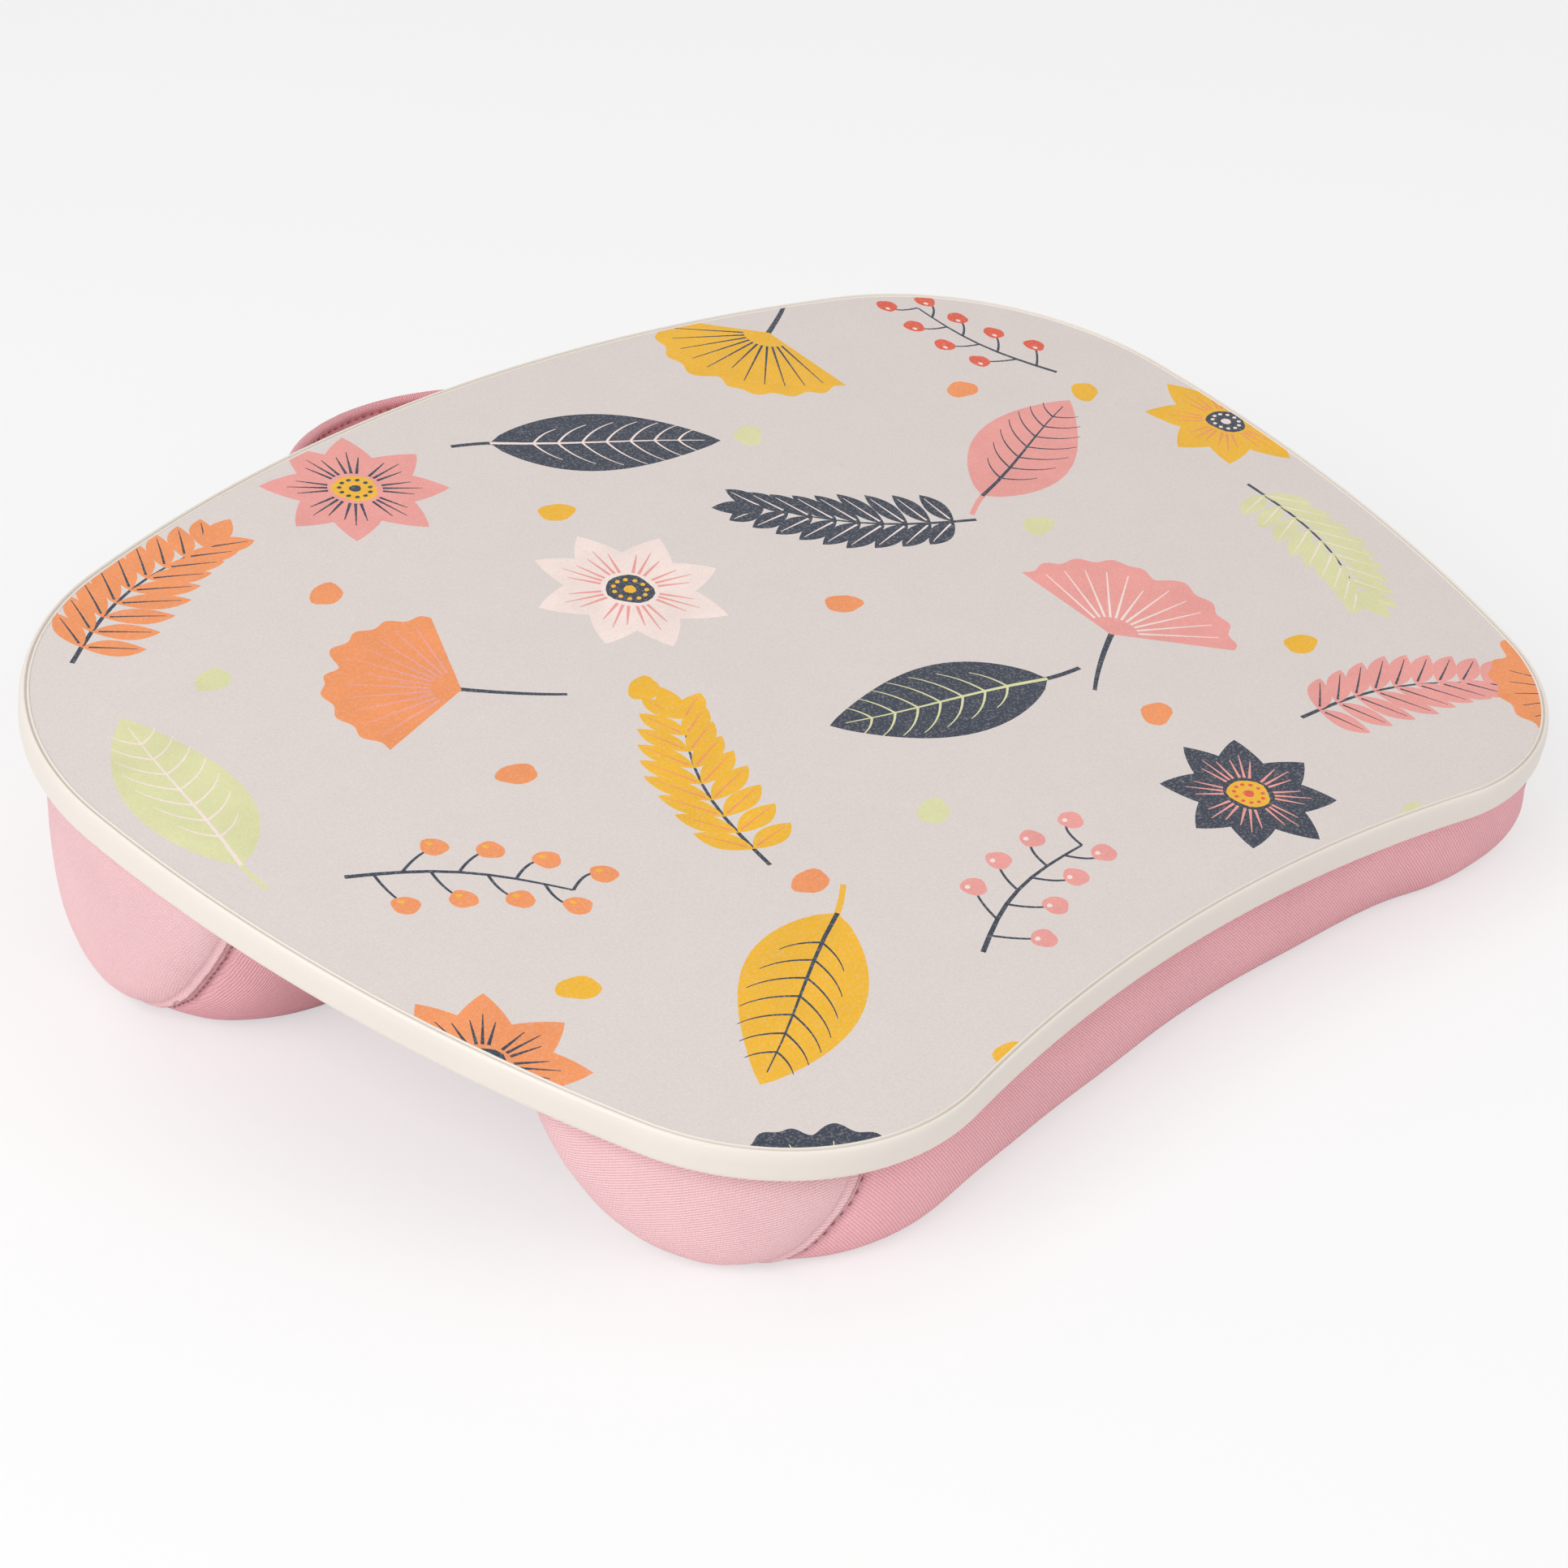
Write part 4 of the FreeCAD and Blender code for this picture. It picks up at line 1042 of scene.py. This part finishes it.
def moved(shape, x=0.0, y=0.0, turn=0.0, scale=1.0):
    cosine, sine = math.cos(math.radians(turn)) * scale, math.sin(math.radians(turn)) * scale
    return [(x + px * cosine - py * sine, y + px * sine + py * cosine) for px, py in shape]


def sprig(leaf, vein, stem):
    """A curved stem with paired leaves."""
    line = [(-40 + 8 * step, 7 * math.sin(step * 0.32)) for step in range(10)]
    shapes = [(stem, stroke(line, 1.5, 0.6))]
    for number, (x, y) in enumerate(line[1:]):
        for side in (1, -1):
            length = 22 - 1.3 * abs(number - 3)
            turn = side * (52 - 2.5 * number)
            shapes.append((leaf, moved(blade(length, 8.0, bend=side * 1.5), x, y, turn)))
            midrib = [(2, 0), (length * 0.5, side * 0.6), (length * 0.86, side * 1.3)]
            shapes.append((vein, moved(stroke(midrib, 0.8, 0.25), x, y, turn)))
    shapes.append((leaf, moved(blade(18, 8.0), *line[-1], 8)))
    return shapes


def blossom(petal, mark, heart, seed, petals=8):
    """An open flower seen from the front."""
    turns = [360 * number / petals + 4 * math.sin(number * 2.1) for number in range(petals)]
    shapes = [(petal, moved(blade(31, 19, blunt=0.72), turn=turn)) for turn in turns]
    for turn in turns:
        for lean in (-11, 0, 11):
            line = stroke([(9, 0), (15, 0), (22 - abs(lean) * 0.25, 0)], 1.1, 0.3)
            shapes.append((mark, moved(line, turn=turn + lean)))
    shapes.append((heart, oval(15, 15, phase=0.6)))
    for number in range(11):
        turn = math.radians(360 * number / 11)
        shapes.append((seed, moved(oval(1.9, 1.5, steps=8), 5.1 * math.cos(turn), 5.1 * math.sin(turn))))
    shapes.append((seed, oval(4.2, 3.8, steps=12, phase=1.0)))
    return shapes


def broad_leaf(face, vein):
    """One broad leaf with a midrib and side veins."""
    def midrib(share):
        return -42 + 84 * share, 6 * math.sin(math.pi * share / 2) ** 2

    shapes = [(face, moved(blade(84, 38, bend=6.0, blunt=0.85, steps=22), -42, 0))]
    shapes.append((face, stroke([(-56, -3), (-48, -1), (-41, 0)], 1.8, 2.0)))
    line = [midrib(share) for share in (0.0, 0.15, 0.3, 0.45, 0.6, 0.75, 0.93)]
    shapes.append((vein, stroke(line, 1.5, 0.4)))
    for number in range(1, 8):
        share = 0.08 + 0.105 * number
        x, y = midrib(share)
        reach = 17.5 * math.sin(math.pi * share ** 0.85) ** 0.9
        for side in (1, -1):
            tip = (x + reach * 0.75, y + side * reach * 0.82)
            bow = (x + reach * 0.32, y + side * reach * 0.48)
            shapes.append((vein, stroke([(x, y), bow, tip], 0.9, 0.3)))
    return shapes


def fan_leaf(face, line, stem):
    """A fan-shaped leaf on a slim stalk."""
    rim = []
    for step in range(81):
        place = step * 30 / 80
        turn = math.radians(-68 + 136 * step / 80)
        notch = 5.5 * math.exp(-((place - 15) / 1.2) ** 2)
        reach = 44 + 1.1 * math.sin(place * 1.7) - notch - 4.0 * abs(place - 15) / 15
        rim.append((reach * math.cos(turn) - 12, reach * math.sin(turn)))
    shapes = [(stem, stroke([(-46, -7), (-30, -3), (-11, 0)], 1.3, 2.0)), (face, [(-13, 0)] + rim)]
    for number in range(11):
        turn = math.radians(-58 + 116 * number / 10)
        far = 30.0 if number == 5 else 36.0
        reaches = (9.0, (9.0 + far) / 2, far)
        spots = [(reach * math.cos(turn) - 12, reach * math.sin(turn)) for reach in reaches]
        shapes.append((line, stroke(spots, 0.9, 0.35)))
    return shapes


def berries(stem, fruit, glint):
    """A forked stalk with round berries."""
    line = [(-36 + 8 * step, 5 * math.sin(step * 0.4)) for step in range(9)]
    shapes = [(stem, stroke(line, 1.6, 0.8))]
    for number, (x, y) in enumerate(line[1:]):
        side = 1 if number % 2 else -1
        tip = (x + 9, y + side * (13 - 0.7 * number))
        shapes.append((stem, stroke([(x, y), (x + 4, y + side * 7), tip], 1.0, 0.7)))
        shapes.append((fruit, moved(oval(8.4, 7.8, phase=number), *tip)))
        shapes.append((glint, moved(oval(2.0, 1.6, steps=10), tip[0] - 1.3, tip[1] + 1.4)))
    return shapes


# Kind, inks, place on the deck, turn and scale.
SCATTER = (
    (sprig, ("orange", "navy", "navy"), -150, 118, 20, 1.0),
    (blossom, ("coral", "navy", "mustard", "navy"), -62, 132, 10, 0.95),
    (broad_leaf, ("navy", "blush"), 22, 108, -35, 0.9),
    (fan_leaf, ("mustard", "navy", "navy"), 108, 128, 200, 0.95),
    (berries, ("navy", "red", "blush"), 182, 92, 100, 0.9),
    (broad_leaf, ("lime", "blush"), -196, 40, 75, 0.85),
    (fan_leaf, ("orange", "coral", "navy"), -112, 42, 130, 0.9),
    (blossom, ("blush", "coral", "navy", "mustard"), -28, 44, 30, 1.0),
    (sprig, ("navy", "blush", "navy"), 64, 36, 140, 0.95),
    (broad_leaf, ("coral", "navy"), 142, 30, 15, 0.9),
    (blossom, ("mustard", "orange", "navy", "blush"), 214, 6, 0, 0.9),
    (berries, ("navy", "orange", "mustard"), -160, -36, -40, 0.95),
    (sprig, ("mustard", "orange", "navy"), -72, -42, 65, 0.95),
    (broad_leaf, ("navy", "lime"), 10, -48, 160, 0.9),
    (fan_leaf, ("coral", "blush", "navy"), 92, -52, 20, 0.95),
    (sprig, ("lime", "blush", "navy"), 176, -58, 250, 0.9),
    (blossom, ("orange", "navy", "navy", "blush"), -206, -92, 0, 0.9),
    (broad_leaf, ("mustard", "navy"), -122, -118, 205, 0.9),
    (berries, ("navy", "coral", "blush"), -34, -128, 15, 0.95),
    (blossom, ("navy", "coral", "mustard", "red"), 52, -134, 0, 0.85),
    (sprig, ("coral", "navy", "navy"), 132, -132, -20, 0.95),
    (fan_leaf, ("navy", "lime", "navy"), -168, -178, 60, 0.8),
    (fan_leaf, ("orange", "navy", "navy"), 186, -158, 110, 0.85),
)
OVALS = (
    ("orange", -106, 92, 25), ("mustard", -18, 88, -10), ("lime", 66, 88, 40), ("orange", 150, 70, 0),
    ("lime", -160, 76, 15), ("mustard", -60, 4, 30), ("orange", 22, 2, -20), ("lime", 108, -2, 10),
    ("mustard", 186, 46, 35), ("orange", -118, -6, -15), ("lime", -32, -86, 25), ("mustard", 128, -94, 0),
    ("orange", 60, -92, 20), ("mustard", -166, -84, -25), ("orange", -84, -88, 5), ("lime", 86, -170, 30),
    ("mustard", -92, -170, 10),
)


def printed_shapes():
    shapes = []
    for kind, inks, x, y, turn, scale in SCATTER:
        for ink, shape in kind(*inks):
            shapes.append((ink, moved(shape, x, y, turn, scale)))
    for number, (ink, x, y, turn) in enumerate(OVALS):
        shapes.append((ink, moved(oval(12.5, 9.0, phase=number * 1.3, wobble=0.06), x, y, turn)))
    return shapes


def build_deck_print():
    verts = Outline(TRIM_LIP).loop(5.0)
    polygons = [list(range(len(verts)))]
    inks = ["ground"]
    for ink, shape in printed_shapes():
        polygons.append(list(range(len(verts), len(verts) + len(shape))))
        turned = shape if flat_area(shape) > 0 else shape[::-1]
        verts += [Vector(spot) for spot in turned]
        inks.append(ink)
    flat, _, faces, _, _, origins = geometry.delaunay_2d_cdt(verts, [], polygons, 1, 1e-5)
    kept = [(face, max(origin)) for face, origin in zip(faces, origins) if 0 in origin]
    flat, shell = used_only(flat, [face for face, _ in kept])
    points = [BOARD @ Vector((spot.x, spot.y, 0.0)) for spot in flat]
    colours = [INK_NAMES.index(inks[origin]) for _, origin in kept]
    onward = dict(rim_edges(shell))
    rim = [next(iter(onward))]
    while onward[rim[-1]] != rim[0]:
        rim.append(onward[rim[-1]])
    below = {}
    for spot in rim:
        below[spot] = len(points)
        points.append(points[spot] + BOARD.to_3x3() @ Vector((0, 0, -LAMINATE)))
    for first, second in zip(rim, rim[1:] + rim[:1]):
        shell.append([second, first, below[first], below[second]])
        colours.append(0)
    shell.append([below[spot] for spot in reversed(rim)])
    colours.append(0)
    mesh = mesh_of("deck_print", points, shell, smooth=False)
    for ink in INK_NAMES:
        wear = GROUND_WEAR if ink == "ground" else INK_WEAR
        mesh.materials.append(ink_material(f"print_{ink}", INKS[ink], wear))
    mesh.polygons.foreach_set("material_index", colours)
    return new_object("deck_print", mesh)


deck_print = build_deck_print()
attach(deck_print, "desk")
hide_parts("top_laminate")


# The edge moulding, with the same section as the CAD piece but a softer lip, groove and nose.
def trim_section():
    """The section as distance inside the outer face and height above the deck."""
    lip = [(3.0, -0.5), (3.0, 0.04), (2.9, 0.2), (2.7, 0.28), (2.5, 0.24), (2.38, 0.1)]
    groove = [(2.26, -0.18), (2.1, -0.38), (1.92, -0.38), (1.78, -0.15), (1.68, 0.1), (1.58, 0.26)]
    turns = [math.pi / 2 * step / 10 for step in range(11)]
    nose = [(1.45 * (1 - math.sin(turn)), 4.2 * math.cos(turn) - 3.85) for turn in turns]
    chin = [(1.2 * (1 - math.cos(turn)), -6.95 - 2.4 * math.sin(turn)) for turn in turns]
    under = [(3.0, -9.35), (3.0, -9.0), (2.0, -9.0)]
    tongue = [(2.0, -5.3), (9.0, -5.0), (9.0, -4.0), (2.0, -3.7), (2.0, -0.5)]
    return lip + groove + nose + chin + under + tongue


def build_trim():
    points = []
    section = trim_section()
    for inset, height in section:
        loop = Outline(inset).loop(3.0)
        points += [BOARD @ Vector((spot.x, spot.y, height)) for spot in loop]
    mesh = mesh_of("moulding", points, ring_faces(len(section), len(loop), closed=True))
    mesh.set_sharp_from_angle(angle=math.radians(50))
    mesh.materials.append(CREAM)
    return new_object("moulding", mesh)


moulding = build_trim()
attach(moulding, "desk")
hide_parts("edge_trim")


# Camera, as in the photograph, in the board frame. The focal length is a share of the picture's width.
FOCAL_SHARE = 4357.6 / 1932
SENSOR = 36.0
CAMERA_PLACE = Vector((-683.2, -558.8, 586.6))
CAMERA_RIGHT = Vector((0.6989, -0.7016, 0.1386))
CAMERA_DOWN = Vector((-0.343, -0.4989, -0.7959))


def add_camera():
    lens = bpy.data.cameras.new("camera")
    set_all(lens, {"sensor_width": SENSOR, "sensor_fit": "HORIZONTAL", "lens": FOCAL_SHARE * SENSOR,
                   "clip_start": 0.05, "clip_end": 50.0})
    camera = new_object("camera", lens)
    turn = BOARD.to_3x3().normalized()
    right = turn @ CAMERA_RIGHT
    down = turn @ CAMERA_DOWN
    back = right.cross(-down).normalized()
    up = back.cross(right).normalized()
    rotation = Matrix((right.normalized(), up, back)).transposed()
    camera.matrix_world = Matrix.Translation(BOARD @ CAMERA_PLACE) @ rotation.to_4x4()
    bpy.context.scene.camera = camera


# Where all lamps point.
LAMP_AIM = Vector((0, 0, 0.05))


def add_lamp(name, place, width, power):
    lamp = bpy.data.lights.new(name, "AREA")
    set_all(lamp, {"shape": "SQUARE", "size": width, "energy": power})
    holder = new_object(name, lamp)
    holder.location = place
    holder.rotation_euler = (LAMP_AIM - Vector(place)).to_track_quat("-Z", "Y").to_euler()


def seen_ray(tree):
    """One for rays that show the background itself, to the camera or in a reflection."""
    ray = add(tree, "ShaderNodeLightPath")
    seen = math_node(tree, "MAXIMUM", ray.outputs["Is Camera Ray"], ray.outputs["Is Glossy Ray"])
    return math_node(tree, "MAXIMUM", seen, ray.outputs["Is Transmission Ray"])


# The share of plain white in what is seen of the floor, which leaves a light shadow.
FLOOR_GLOW = 0.55
# The light that comes from all round.
WORLD_LIGHT = 0.58


def add_stage():
    corners = [(-6, -6, 0), (6, -6, 0), (6, 6, 0), (-6, 6, 0)]
    floor = new_object("floor", mesh_of("floor", corners, [[0, 1, 2, 3]]))
    material, tree, shader = new_material("floor_white", 0.9)
    cloud = noise_node(tree, object_place(tree), 3.0)
    tones = ramp(tree, cloud, [(0.0, grey(0.93)), (1.0, grey(0.95))])
    set_inputs(tree, shader, {"Base Color": tones, "Specular IOR Level": 0.0})
    glow = add(tree, "ShaderNodeEmission", {"Strength": 1.0})
    share = math_node(tree, "MULTIPLY", seen_ray(tree), FLOOR_GLOW)
    mixed = add(tree, "ShaderNodeMixShader", {0: share, 1: shader.outputs[0], 2: glow.outputs[0]})
    tree.links.new(mixed.outputs[0], tree.nodes["Material Output"].inputs["Surface"])
    floor.data.materials.append(material)
    world = bpy.data.worlds.new("studio")
    bpy.context.scene.world = world
    world.use_nodes = True
    tree = world.node_tree
    level = range_node(tree, seen_ray(tree), to_min=WORLD_LIGHT, to_max=1.0)
    set_inputs(tree, tree.nodes["Background"], {"Color": grey(1.0), "Strength": level})


add_camera()
add_stage()
add_lamp("key", (-1.7, -0.2, 1.2), 1.4, 20.0)
add_lamp("front", (0.3, -1.9, 1.2), 1.6, 7.0)
add_lamp("top", (0.2, 0.3, 2.3), 2.0, 4.8)
bpy.context.scene.view_settings.view_transform = "Standard"
